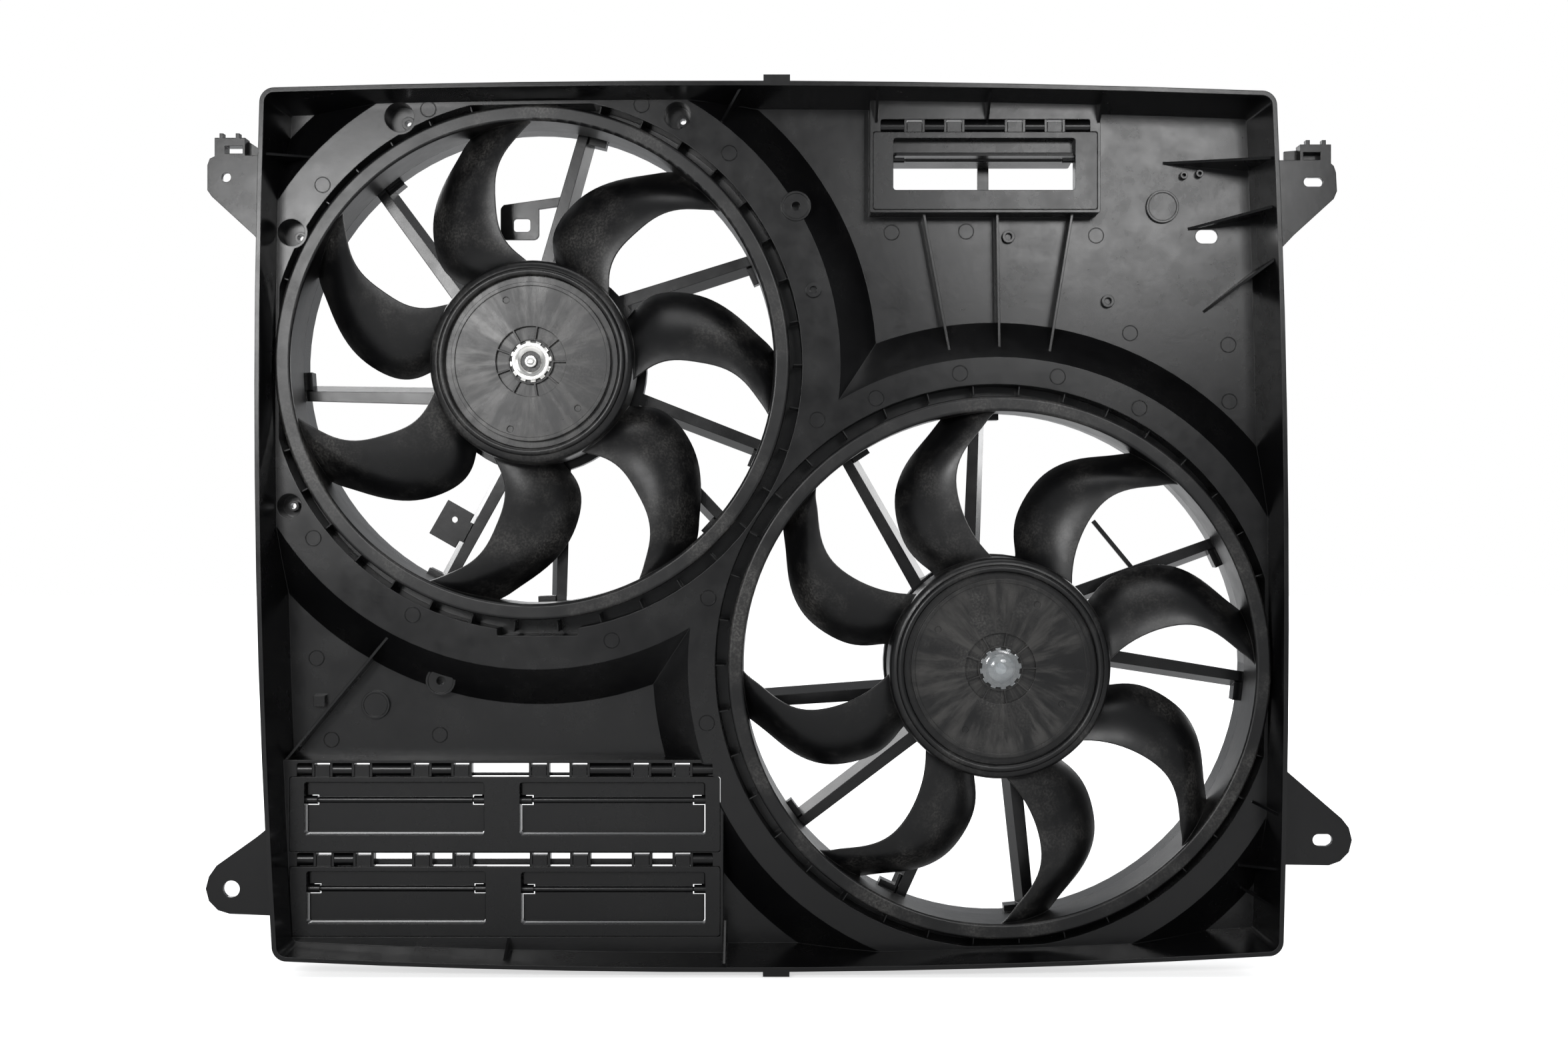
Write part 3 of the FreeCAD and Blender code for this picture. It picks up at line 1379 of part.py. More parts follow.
def screw_posts():
    """Posts standing in the screw pockets, each with its screw hole through."""
    depth = size("plateau_depth") + size("pocket_depth")
    posts = []
    holes = []
    for middle, radius, offset in SCREW_POCKETS:
        place = (middle[0] + offset[0], middle[1] + offset[1])
        posts.append(round_bar(place, radius * 0.45, depth - 8, depth - 1))
        holes.append(round_bar(place, 2.1, depth - 9, depth + 1))
    return posts, holes


def flat_bar(start, end, width, front, thick):
    """Flat bar facing the front, between two points of the front view."""
    low = Vector(start[0], front, start[1])
    high = Vector(end[0], front, end[1])
    across = Vector(0, 1, 0).cross(high.sub(low)).normalize() * (width / 2)
    corners = [low - across, high - across, high + across, low + across]
    return Part.Face(Part.makePolygon(corners + corners[:1])).extrude(Vector(0, thick, 0))


def rounded_plate(low, high, radius, front, thick):
    """Flat plate facing the front, with rounded corners."""
    edges = [line.toShape() for line in rounded_rectangle(low, high, radius)]
    face = Part.Face(Part.Wire(edges))
    face.Placement = FreeCAD.Placement(Vector(0, front, 0), FACING)
    return face.extrude(Vector(0, thick, 0))


def arm_tabs():
    """Cable tabs held by the left stator's arms and the struts of the right one."""
    front = size("arm_front") + 3
    thick = 3.0
    slotted = rounded_plate((-192.3, 202.9), (-165.2, 227.6), 4.0, front, thick)
    slotted = slotted.cut(rounded_plate((-183.2, 208.5), (-171.3, 217.9), 2.5, front, thick))
    strut = flat_bar((-190.0, 224.3), (-145.0, 230.6), 6.4, front, thick)
    holed = tangent_box("left", (113.5, 140.5), 240.3, 10.5, (front, front + thick))
    holed = holed.cut(round_bar((-224.8, 5.2), 2.2, front, front + thick))
    link = tangent_box("left", (120.0, 135.0), 246.5, 6.5, (front, front + thick))
    bars = []
    for side, ends in RIGHT_STRUTS:
        start, end = [polar(side, radius, angle, front) for radius, angle in ends]
        bars.append(flat_bar((start.x, start.z), (end.x, end.z), 3.0, front, thick))
    return [slotted, strut, holed, link] + bars


def window_guard():
    """Upright bar behind the upper flap's window, with a foot at each end."""
    left = 144.8
    wide = 7.8
    front, rear = 65.5, 68.5
    bar = Part.makeBox(wide, rear - front, 79.0, Vector(left, front, 211.0))
    lower = Part.makeBox(wide, rear - 56.0, 6.0, Vector(left, 56.0, 211.0))
    upper = Part.makeBox(wide, rear - 35.0, 6.0, Vector(left, 35.0, 284.0))
    return [bar, lower, upper]


def rim_tabs():
    """Small clip tabs on the middle of the rim's top and bottom."""
    crown = size("rim_top_mid")
    keel = size("rim_bottom_mid")
    top = Part.makeBox(18, 9, 6.4, Vector(-6.0, 0, crown - 2.2))
    bottom = Part.makeBox(18, 9, 5.4, Vector(-6.4, 0, -keel - 3.2))
    return [top, bottom]


def make_shroud():
    """The moulded shroud: rim, plateau, slopes, floors, fan bays, stators, boxes and ears."""
    depth = size("floor_depth") + size("skin")
    outer = rim_block("rim_outside", 0.0, 0.0, depth)
    inner = rim_block("rim_inside", size("rim_wall"), -1.0, depth + 1)
    shell = cut("front_shell", outer, front_void(inner))
    skin = cut("skin_shell", shell, rear_void(inner))
    draft = size("rim_draft") / size("floor_depth") * size("bay_rear")
    limit = prism("bay_limit", rim_outline(draft), "0", "Sizes.stator_ring_rear + 10")
    air_limit = prism(
        "bay_air_limit", rim_outline(size("rim_wall") + draft), "0", "Sizes.stator_ring_rear")
    barrels = [block(
        "bay_notch_wall", *inset_corners(*BAY_NOTCH, -size("bay_wall")), "Sizes.plateau_depth",
        "Sizes.bay_rear - Sizes.plateau_depth")]
    airs = [block(
        "bay_notch", *BAY_NOTCH, "Sizes.ring_front",
        "Sizes.bay_rear - Sizes.bay_wall - Sizes.ring_front")]
    bores = []
    for side in SIDES:
        barrel, ring, air, bore = bay_forms(side)
        barrels += [barrel, ring]
        airs.append(air)
        bores.append(bore)
    bays = common("bays", fuse("barrels", *barrels), limit)
    bay_air = fuse("bay_air", common("side_air", fuse("bay_airs", *airs), air_limit), *bores)
    joined = fuse("skin_and_bays", skin, bays)
    opened = cut("open_bays", joined, bay_air)
    vented = cut("vented", opened, fuse("carrier_cuts", *carrier_cuts()))
    cups, cup_airs = boss_forms()
    posts, post_holes = screw_posts()
    slot = prism(
        "pocket_slot", slot_outline((304.9, 204.1), 15.9, 4.9), "Sizes.floor_depth - 5", "12")
    details = cups
    for side in SIDES:
        details += stator(side)
        details += labyrinth(side)
        details.append(motor_ring(side))
    DOC.recompute()
    trimmed = Part.makeCompound(details).common(limit.Shape)
    parts = [feature(f"detail_{index}", solid) for index, solid in enumerate(trimmed.Solids)]
    outside = ribs_and_gussets() + ear_clips() + rim_tabs() + arm_tabs() + window_guard()
    for name, spec in CARRIERS.items():
        outside += clip_row(name, spec)
    extras = [feature(f"extra_{index}", solid) for index, solid in enumerate(outside)]
    moulding = fuse("shroud_moulding", vented, *ear_plates(), *parts, *extras)
    airs = feature("cup_airs", Part.makeCompound(cup_airs))
    hollowed = cut("shroud_cups", moulding, fuse("cup_and_slot", airs, slot))
    studs = [feature(f"post_{index}", solid) for index, solid in enumerate(posts)]
    posted = fuse("shroud_posts", hollowed, *studs)
    node("shroud", cut("shroud_drilled", posted, feature("post_holes", Part.makeCompound(post_holes))))


def carrier_window(holder, name, low, high):
    """Opening in a carrier's plate with the collar that carries one flap's pins."""
    wall = size("collar_wall")
    corner = size("window_corner")
    hole = rounded_rectangle(low, high, corner)
    outside = rounded_rectangle(
        (low[0] - wall, low[1] - wall), (high[0] + wall, high[1] + wall), corner + wall)
    collar = facing_sketch(
        holder, f"{name}_collar_outline", outside, "Sizes.carrier_front + Sizes.carrier_plate / 2")
    pad(holder, f"{name}_collar", collar, "Sizes.collar_depth - Sizes.carrier_plate / 2")
    opening = facing_sketch(holder, f"{name}_window_outline", hole, "Sizes.carrier_front - 1")
    pocket(holder, f"{name}_window", opening, "Sizes.collar_depth + 2")
    height = axle_height(low, high)
    stop_front = "Sizes.flap_stop_depth"
    stops = polygon([
        (low[0] - 0.5, height + size("flap_stop_rise")), (high[0] + 0.5, height + size("flap_stop_rise")),
        (high[0] + 0.5, high[1] + 0.5), (low[0] - 0.5, high[1] + 0.5)])
    strip = facing_sketch(holder, f"{name}_stop_outline", stops, stop_front)
    pad(holder, f"{name}_stop", strip, "Sizes.flap_stop_thickness")
    lug = 3.0
    rise = size("flap_thickness") / 2
    lugs = []
    for start, end in ((low[0] - 0.5, low[0] + lug), (high[0] - lug, high[0] + 0.5)):
        lugs += polygon([
            (start, height + rise), (end, height + rise), (end, height + size("flap_stop_rise") + 1),
            (start, height + size("flap_stop_rise") + 1)])
    lug_sketch = facing_sketch(holder, f"{name}_lug_outline", lugs, f"{stop_front} + 1.0")
    pad(holder, f"{name}_lugs", lug_sketch, "2.0")
    for label, start in (("left", low[0] - 0.5), ("right", high[0] - size("flap_notch"))):
        place = FreeCAD.Placement(Vector(start, 0, 0), FreeCAD.Rotation()).multiply(PLANES["YZ_Plane"])
        eye = sketch_on(
            holder, f"{name}_{label}_eye_outline", "YZ_Plane",
            circle((size("flap_axle_depth"), height), size("flap_eye_radius")), place)
        boss = holder.newObject("PartDesign::Pad", f"{name}_{label}_eye")
        boss.Profile = (eye, [""])
        boss.Length = size("flap_notch") + 0.5
    bore = sketch_on(
        holder, f"{name}_pin_holes", "YZ_Plane",
        circle((size("flap_axle_depth"), height), size("flap_pin_radius") + size("flap_pin_clearance")),
        FreeCAD.Placement(Vector((low[0] + high[0]) / 2, 0, 0), FreeCAD.Rotation()).multiply(
            PLANES["YZ_Plane"]))
    drill = holder.newObject("PartDesign::Pocket", f"{name}_pin_bore")
    drill.Profile = (bore, [""])
    drill.Midplane = True
    drill.Length = high[0] - low[0] + 2 * wall + 1


def axle_height(low, high):
    """Height of a flap's axle, a fixed share of the window below its top."""
    return high[1] - size("flap_axle_share") * (high[1] - low[1])


def make_carrier(name, spec):
    """Clip-on plate with its windows, collars and hooks."""
    holder = body(f"flap_carrier_{name}")
    outline = rounded_rectangle(spec["low"], spec["high"], 2.0)
    plate = facing_sketch(holder, f"{name}_plate_outline", outline, "Sizes.carrier_front")
    pad(holder, f"{name}_plate", plate, "Sizes.carrier_plate")
    pin_height = (spec["high"][1] + spec["row_top"]) / 2
    half = size("clip_width") / 2 - size("clip_gap")
    top = pin_height + size("clip_pin_radius") + size("clip_hook_wall")
    hooks = []
    for place in spec["clips"]:
        hooks += polygon([
            (place - half, spec["high"][1] - 0.4), (place + half, spec["high"][1] - 0.4),
            (place + half, top), (place - half, top)])
    front = "Sizes.carrier_front + 0.6"
    hook_sketch = facing_sketch(holder, f"{name}_hook_outline", hooks, front)
    pad(holder, f"{name}_hooks", hook_sketch, f"Sizes.rod_depth + 3 - ({front})")
    hole = sketch_on(
        holder, f"{name}_hook_hole", "YZ_Plane",
        circle((size("rod_depth"), pin_height), size("clip_pin_radius") + 0.15))
    drill = holder.newObject("PartDesign::Pocket", f"{name}_hook_bore")
    drill.Profile = (hole, [""])
    drill.Midplane = True
    drill.Length = 2 * size("rim_right_mid")
    for window, (low, high) in spec["windows"].items():
        carrier_window(holder, window, low, high)


def make_flap(name, low, high, open_angle):
    """Flap with an axle bar and end pins, hung about a third of the way down its window."""
    gap = size("flap_gap")
    height = high[1] - low[1]
    axle = axle_height(low, high)
    half = (high[0] - low[0]) / 2
    width = half - gap
    top = size("flap_axle_share") * height - gap
    bottom = -(1 - size("flap_axle_share")) * height + gap
    notch = size("flap_notch")
    slot = size("flap_bar_radius") + 1.2
    middle = (low[0] + high[0]) / 2
    flap = body(f"flap_{name}", (str(middle), "Sizes.flap_axle_depth", str(axle)))
    flap.Placement = FreeCAD.Placement(Vector(), FreeCAD.Rotation(Vector(1, 0, 0), open_angle))
    chamfer = size("window_corner") - gap
    corners = [
        (-width, bottom + chamfer), (-width + chamfer, bottom), (width - chamfer, bottom),
        (width, bottom + chamfer), (width, -slot), (width - notch, -slot), (width - notch, slot),
        (width, slot), (width, top - chamfer), (width - chamfer, top), (-width + chamfer, top),
        (-width, top - chamfer), (-width, slot), (-width + notch, slot), (-width + notch, -slot),
        (-width, -slot),
    ]
    half_thickness = size("flap_thickness") / 2
    plate = sketch_on(flap, f"{name}_flap_outline", "XZ_Plane", polygon(corners))
    blade = flap.newObject("PartDesign::Pad", f"{name}_flap_plate")
    blade.Profile = (plate, [""])
    blade.Midplane = True
    blade.Length = 2 * half_thickness
    bind(blade, {"Length": "Sizes.flap_thickness"})
    for part, radius, length in (
        ("bar", size("flap_bar_radius"), 2 * (width - notch)),
        ("pins", size("flap_pin_radius"), 2 * (half + size("flap_pin_end"))),
    ):
        outline = sketch_on(flap, f"{name}_{part}_outline", "YZ_Plane", circle((0, 0), radius))
        rod = flap.newObject("PartDesign::Pad", f"{name}_{part}")
        rod.Profile = (outline, [""])
        rod.Midplane = True
        rod.Length = length


def check_and_write():
    """Stops on any failed object or bad shape, then writes one file per sub-part."""
    DOC.recompute()
    for thing in DOC.Objects:
        if "Invalid" in thing.State or "Error" in thing.State:
            raise RuntimeError(f"{thing.Name} failed: {thing.State}")
    for name, thing in NODES.items():
        if thing.Shape.isNull() or not thing.Shape.isValid():
            raise RuntimeError(f"{name} has no valid shape")
    os.makedirs("parts", exist_ok=True)
    for name, thing in NODES.items():
        thing.Shape.exportStep(f"parts/{name}.step")


def main():
    fill_sheet()
    make_shroud()
    for name, spec in CARRIERS.items():
        make_carrier(name, spec)
        for flap, (low, high) in spec["windows"].items():
            make_flap(flap, low, high, size("upper_flap_open") if flap == "upper" else 0.0)
    for side in SIDES:
        make_fan(side)
        make_motor(side)
    make_left_retainer()
    make_right_retainer()
    check_and_write()


main()
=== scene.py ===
import json
import math

import bmesh
import bpy
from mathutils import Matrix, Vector


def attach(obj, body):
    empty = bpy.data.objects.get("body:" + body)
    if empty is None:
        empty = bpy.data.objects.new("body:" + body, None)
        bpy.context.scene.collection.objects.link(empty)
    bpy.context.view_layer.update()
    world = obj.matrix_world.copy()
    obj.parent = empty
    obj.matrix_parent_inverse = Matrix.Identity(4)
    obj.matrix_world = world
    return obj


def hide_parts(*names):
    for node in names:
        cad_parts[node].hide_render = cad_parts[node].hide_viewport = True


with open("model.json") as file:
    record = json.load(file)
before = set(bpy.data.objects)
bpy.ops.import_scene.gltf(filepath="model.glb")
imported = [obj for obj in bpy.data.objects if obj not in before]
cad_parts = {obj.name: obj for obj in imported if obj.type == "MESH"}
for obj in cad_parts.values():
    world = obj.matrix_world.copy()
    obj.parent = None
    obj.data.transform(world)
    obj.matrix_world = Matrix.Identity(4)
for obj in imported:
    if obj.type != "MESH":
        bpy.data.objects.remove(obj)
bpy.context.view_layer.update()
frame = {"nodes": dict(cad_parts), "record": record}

NODES = frame["nodes"]

# all lengths are in metres, unless a profile is given in mm

# the module is seen square on from the radiator side, 1.35 m away
CAMERA_PLACE = (0.0079, -1.35, 0.00315)
CAMERA_LENS = 45.92
SENSOR_WIDTH = 36.0

# name, place, target, size and watts of each lamp
LAMPS = (
    ("left softbox", (-0.60, -1.60, 0.36), (-0.1, 0.0, 0.05), (0.45, 0.34), 12.0),
    ("right softbox", (0.50, -1.60, 0.52), (0.1, 0.0, 0.05), (0.42, 0.28), 7.0),
    ("top lamp", (0.1, -0.5, 1.7), (0.0, 0.0, 0.0), (1.2, 0.6), 6.0),
    ("rear left lamp", (-1.1, 2.0, 0.9), (0.0, 0.1, 0.0), (1.6, 1.2), 22.0),
    ("rear right lamp", (1.3, 1.7, 0.7), (0.0, 0.1, 0.0), (1.2, 1.4), 18.0),
)

# how much of the white surroundings shows in gloss
GLOSS_SHARE = 0.12
SURROUNDINGS_STRENGTH = 0.30

# the floor lies under the module's lower edge, and glows more strongly farther out
FLOOR_HEIGHT = -0.3045
FLOOR_SIZE = 14.0
FLOOR_GLOW = (0.62, 1.0)
FLOOR_GLOW_DISTANCES = (0.4, 1.6)

# axes of the two wheels, across and up
FAN_CENTRES = {"left": (-0.164, 0.1125), "right": (0.155, -0.096)}

# flow streaks of a wheel, whose paleness is partly a painted sheen on its disc: features along and
# around, radii where they fade, and what they change
STREAKS_ALONG = 22.0
STREAKS_AROUND = 4.5
STREAK_FADE = (0.054, 0.066)
STREAK_PALENESS_AND_SHEEN = 0.30
STREAK_GLOSS = -0.07

# noise of the plastics, in features to the metre
FLECK_SCALE = 620.0
WEAR_SCALE = 70.0
FLOW_SCALE = 60.0
GRAIN_SCALE = 1900.0
DIMPLE_SCALE = 240.0
PLASTIC_EDGE = 0.0007
PLASTIC_SHINE = 0.36

# stains and turned lines of the metals
STAIN_SCALE = 45.0
STAIN_DARKNESS = 0.72
TURNING_PITCH = 0.0004
METAL_EDGE = 0.0003
MARK_BUMP = 0.00002

# teeth round the push nut and the nylon cap
RETAINER_RADIUS = 0.0128
RETAINER_WALL = (0.0069, 0.0096)
TOOTH_COUNT = 12
TOOTH_LENGTH = 0.0014

# edges flatter than this are not rounded
ROUNDED_ANGLE = 35.0
# a ring closes to a point by way of this radius in mm
POINT_RADIUS = 0.001

# round marks of the mould's ejector pins, across and up, on the shroud's sunken floor
FLOOR_DEPTH = 0.055
FLOOR_MARKS = (
    (0.0835, 0.2069), (0.1358, 0.2076), (0.2271, 0.2048), (0.2510, 0.1362), (0.3200, 0.1280),
    (0.3207, 0.0882), (-0.3204, -0.0922), (-0.3099, -0.1495), (-0.2338, -0.1460),
)
# and on its raised plateau
RAISED_DEPTH = 0.032
RAISED_MARKS = (
    (-0.0299, 0.2584), (0.1295, 0.1063), (0.1970, 0.1040), (0.2534, 0.0822), (0.0715, 0.0891),
    (0.0309, 0.0741), (-0.3173, -0.0077), (-0.2487, -0.0607), (-0.1112, -0.0784),
    (-0.0444, -0.0491), (-0.0455, -0.1355), (-0.2379, 0.2888), (-0.0905, 0.2918),
    (-0.3109, 0.2365),
)


def shader_tree(name):
    """New material with its tree and its shader."""
    material = bpy.data.materials.new(name)
    material.use_nodes = True
    tree = material.node_tree
    return material, tree, tree.nodes["Principled BSDF"]


def add(tree, kind, **settings):
    """New node with plain settings."""
    node = tree.nodes.new(kind)
    for key, value in settings.items():
        setattr(node, key, value)
    return node


def place_on(tree, centre=(0.0, 0.0, 0.0), stretch=(1.0, 1.0, 1.0)):
    """Object coordinates from a centre, stretched along the axes."""
    source = add(tree, "ShaderNodeTexCoord")
    mapping = add(tree, "ShaderNodeMapping")
    mapping.inputs["Location"].default_value = [-c * s for c, s in zip(centre, stretch)]
    mapping.inputs["Scale"].default_value = stretch
    tree.links.new(source.outputs["Object"], mapping.inputs["Vector"])
    return mapping.outputs["Vector"]


def noise(tree, scale, detail=3.0, roughness=0.55, place=None):
    """Noise whose scale is in features to the metre."""
    texture = add(tree, "ShaderNodeTexNoise")
    texture.inputs["Scale"].default_value = scale
    texture.inputs["Detail"].default_value = detail
    texture.inputs["Roughness"].default_value = roughness
    tree.links.new(place or place_on(tree), texture.inputs["Vector"])
    return texture.outputs["Fac"]


def spread(tree, source, low, high, start=0.35, end=0.65):
    """Smooth step from low to high while the source goes from start to end."""
    node = add(tree, "ShaderNodeMapRange", interpolation_type="SMOOTHSTEP")
    node.inputs["From Min"].default_value = start
    node.inputs["From Max"].default_value = end
    node.inputs["To Min"].default_value = low
    node.inputs["To Max"].default_value = high
    tree.links.new(source, node.inputs["Value"])
    return node.outputs["Result"]


def blend_colours(tree, share, first, second):
    """Colour between two, by a share from 0 to 1."""
    node = add(tree, "ShaderNodeMix", data_type="RGBA")
    node.inputs["A"].default_value = (*first, 1.0)
    node.inputs["B"].default_value = (*second, 1.0)
    tree.links.new(share, node.inputs["Factor"])
    return node.outputs["Result"]


def combine(tree, operation, first, second):
    """Sum, product or larger of two values, of which the second may be a number."""
    node = add(tree, "ShaderNodeMath", operation=operation)
    tree.links.new(first, node.inputs[0])
    if isinstance(second, (int, float)):
        node.inputs[1].default_value = second
    else:
        tree.links.new(second, node.inputs[1])
    return node.outputs["Value"]


def vector_step(tree, operation, first, second=None):
    """One vector operation, whose second operand may be a plain vector."""
    node = add(tree, "ShaderNodeVectorMath", operation=operation)
    tree.links.new(first, node.inputs[0])
    if isinstance(second, tuple):
        node.inputs[1].default_value = second
    elif second is not None:
        tree.links.new(second, node.inputs[1])
    return node.outputs["Value" if operation in ("LENGTH", "DOT_PRODUCT") else "Vector"]


def bump(tree, height, distance, strength, base=None):
    """Bump from a height between 0 and 1 and a depth in metres."""
    node = add(tree, "ShaderNodeBump")
    node.inputs["Strength"].default_value = strength
    node.inputs["Distance"].default_value = distance
    tree.links.new(height, node.inputs["Height"])
    if base is not None:
        tree.links.new(base, node.inputs["Normal"])
    return node.outputs["Normal"]


def rounded_edges(tree, radius):
    """Normal with soft edges, and how near an edge the surface is, from 0 to 1."""
    soft = add(tree, "ShaderNodeBevel", samples=4)
    soft.inputs["Radius"].default_value = radius
    plain = add(tree, "ShaderNodeNewGeometry")
    turn = vector_step(tree, "DOT_PRODUCT", soft.outputs["Normal"], plain.outputs["Normal"])
    return soft.outputs["Normal"], spread(tree, turn, 1.0, 0.0, 0.80, 0.995)


def from_axis(tree, centre):
    """Vector straight out from an axis along Y, and its length."""
    across, up = centre
    flat = vector_step(tree, "MULTIPLY", place_on(tree, (across, 0.0, up)), (1.0, 0.0, 1.0))
    return flat, vector_step(tree, "LENGTH", flat)


def wheel_streaks_and_sheen(tree, centre):
    """Flow streaks that run out from a wheel's gate and fade past its disc; painted pale, they are
    partly a painted sheen.
    """
    flat, radius = from_axis(tree, centre)
    along = add(tree, "ShaderNodeCombineXYZ")
    tree.links.new(combine(tree, "MULTIPLY", radius, STREAKS_ALONG), along.inputs["Y"])
    direction = vector_step(tree, "NORMALIZE", flat)
    around = vector_step(tree, "MULTIPLY", direction, (STREAKS_AROUND,) * 3)
    place = vector_step(tree, "ADD", around, along.outputs["Vector"])
    streaks = spread(tree, noise(tree, 1.0, 4.0, 0.6, place), 0.0, 1.0, 0.40, 0.68)
    return combine(tree, "MULTIPLY", streaks, spread(tree, radius, 1.0, 0.0, *STREAK_FADE))


def moulded_plastic(name, dark, worn, rough, grain=0.00003, cloud=14.0, rub=0.5, centre=None):
    """Glass-filled black plastic: eroded grain, flow clouds, rubbed patches and edges."""
    material, tree, shader = shader_tree(name)
    soft, edge = rounded_edges(tree, PLASTIC_EDGE)
    clouds = noise(tree, cloud, 5.0, 0.62)
    flecks = noise(tree, FLECK_SCALE, 2.0, 0.6)
    patches = spread(tree, clouds, 0.0, rub, 0.42, 0.85)
    share = combine(tree, "MULTIPLY", patches, spread(tree, flecks, 0.25, 1.0, 0.38, 0.68))
    rubbed = spread(tree, noise(tree, WEAR_SCALE), 0.05, 0.32)
    share = combine(tree, "MAXIMUM", share, combine(tree, "MULTIPLY", edge, rubbed))
    flow = spread(tree, noise(tree, FLOW_SCALE, 4.0, 0.6), -0.03, 0.03, 0.25, 0.75)
    if centre is not None:
        streaks = wheel_streaks_and_sheen(tree, centre)
        # pale streaks on the wheel's disc: real flow lines, and partly a painted sheen of the disc
        pale = combine(tree, "MULTIPLY", streaks, STREAK_PALENESS_AND_SHEEN)
        share = combine(tree, "MAXIMUM", share, pale)
        flow = combine(tree, "ADD", flow, combine(tree, "MULTIPLY", streaks, STREAK_GLOSS))
    tree.links.new(blend_colours(tree, share, dark, worn), shader.inputs["Base Color"])
    cloudy = spread(tree, clouds, rough - 0.03, rough + 0.04, 0.20, 0.80)
    tree.links.new(combine(tree, "ADD", cloudy, flow), shader.inputs["Roughness"])
    grained = bump(tree, noise(tree, GRAIN_SCALE, 2.0, 0.6), grain, 0.5, soft)
    dimpled = bump(tree, noise(tree, DIMPLE_SCALE, 2.0, 0.5), grain * 2.0, 0.4, grained)
    tree.links.new(dimpled, shader.inputs["Normal"])
    shader.inputs["Specular IOR Level"].default_value = PLASTIC_SHINE
    return material


def turned_marks(tree, centre):
    """Fine concentric lines round an axis along Y."""
    _, radius = from_axis(tree, centre)
    lines = add(tree, "ShaderNodeCombineXYZ")
    tree.links.new(combine(tree, "MULTIPLY", radius, 1.0 / TURNING_PITCH), lines.inputs["X"])
    return noise(tree, 1.0, 2.0, 0.6, lines.outputs["Vector"])


def metal(name, colour, rough, stretch=(1.0, 1.0, 1.0), grain=900.0, centre=None):
    """Turned, pressed or cast metal with fine marks in its roughness and surface."""
    material, tree, shader = shader_tree(name)
    shader.inputs["Metallic"].default_value = 1.0
    soft, edge = rounded_edges(tree, METAL_EDGE)
    if centre is None:
        marks = noise(tree, grain, 3.0, 0.6, place_on(tree, stretch=stretch))
    else:
        marks = turned_marks(tree, centre)
    stain = spread(tree, noise(tree, STAIN_SCALE, 3.0, 0.6), 0.0, 0.6)
    share = combine(tree, "MULTIPLY", stain, spread(tree, edge, 1.0, 0.3))
    stained = tuple(value * STAIN_DARKNESS for value in colour)
    tree.links.new(blend_colours(tree, share, colour, stained), shader.inputs["Base Color"])
    tree.links.new(spread(tree, marks, rough - 0.06, rough + 0.08), shader.inputs["Roughness"])
    tree.links.new(bump(tree, marks, MARK_BUMP, 0.35, soft), shader.inputs["Normal"])
    return material


def nylon(name):
    """Natural nylon: milky, and clear enough to show the shaft end behind it."""
    material, tree, shader = shader_tree(name)
    milk = noise(tree, 260.0)
    share = spread(tree, milk, 0.0, 1.0)
    colour = blend_colours(tree, share, (0.70, 0.73, 0.74), (0.58, 0.61, 0.63))
    tree.links.new(colour, shader.inputs["Base Color"])
    tree.links.new(spread(tree, milk, 0.10, 0.20), shader.inputs["Roughness"])
    shader.inputs["Transmission Weight"].default_value = 0.75
    shader.inputs["IOR"].default_value = 1.5
    tree.links.new(bump(tree, noise(tree, 700.0), MARK_BUMP, 0.4), shader.inputs["Normal"])
    return material


def finishes():
    """Every finish by the record's material slot, with one plastic for each wheel."""
    black = (0.0030, 0.0030, 0.0033)
    grey = (0.026, 0.025, 0.024)
    dust = (0.150, 0.144, 0.135)
    nut = FAN_CENTRES["left"]
    table = {
        "shroud_plastic": moulded_plastic("moulded shroud plastic", black, grey, 0.24, rub=0.35),
        "carrier_plastic": moulded_plastic("moulded carrier plastic", black, grey, 0.27, rub=0.25),
        "flap_plastic": moulded_plastic("moulded flap plastic", black, grey, 0.25, rub=0.25),
        "retainer_steel": metal("retainer steel", (0.86, 0.85, 0.82), 0.20, centre=nut),
        "retainer_nylon": nylon("retainer nylon"),
        "can_steel": metal("plated can steel", (0.30, 0.30, 0.31), 0.34),
        "cover_aluminium": metal("cast aluminium", (0.58, 0.58, 0.59), 0.44, grain=420.0),
        "bush_bronze": metal("sintered bronze", (0.56, 0.40, 0.22), 0.42),
        "flange_steel": metal("pressed flange steel", (0.36, 0.36, 0.37), 0.36),
        "screw_steel": metal("zinc plated screw", (0.58, 0.58, 0.57), 0.30),
        "magnet_ferrite": metal("ferrite", (0.09, 0.09, 0.095), 0.60),
        "brush_plate_plastic": moulded_plastic("brush plate resin", (0.10, 0.07, 0.04), grey, 0.5),
        "brush_carbon": moulded_plastic("brush carbon", (0.03, 0.03, 0.03), grey, 0.6),
        "shaft_steel": metal("ground shaft steel", (0.66, 0.66, 0.66), 0.20),
        "core_steel": metal("laminated core steel", (0.30, 0.30, 0.31), 0.40, (1.0, 9.0, 1.0)),
        "winding_copper": metal("enamelled copper wire", (0.66, 0.30, 0.13), 0.34, (1.0, 1.0, 6.0)),
        "commutator_copper": metal("turned copper", (0.72, 0.40, 0.22), 0.26),
    }
    for side, centre in FAN_CENTRES.items():
        table[f"fan_plastic_{side}"] = moulded_plastic(
            f"moulded {side} fan plastic", black, dust, 0.32, grain=0.00004, cloud=24.0,
            centre=centre)
    return table


def dress_nodes(table):
    """Gives every CAD node the finish of its slot."""
    for part in frame["record"]["subparts"]:
        node, slot = part["node"], part["material_slot"]
        if slot == "fan_plastic":
            slot = f"fan_plastic_{node.split('_')[-1]}"
        thing = NODES[node]
        thing.data.materials.clear()
        thing.data.materials.append(table[slot])


def add_ring(segments, radius, depth):
    """Ring of vertices about Y, from a radius and a depth in mm."""
    bpy.ops.mesh.primitive_circle_add(
        vertices=segments, radius=radius / 1000, location=(0.0, depth / 1000, 0.0),
        rotation=(math.pi / 2, 0.0, 0.0))


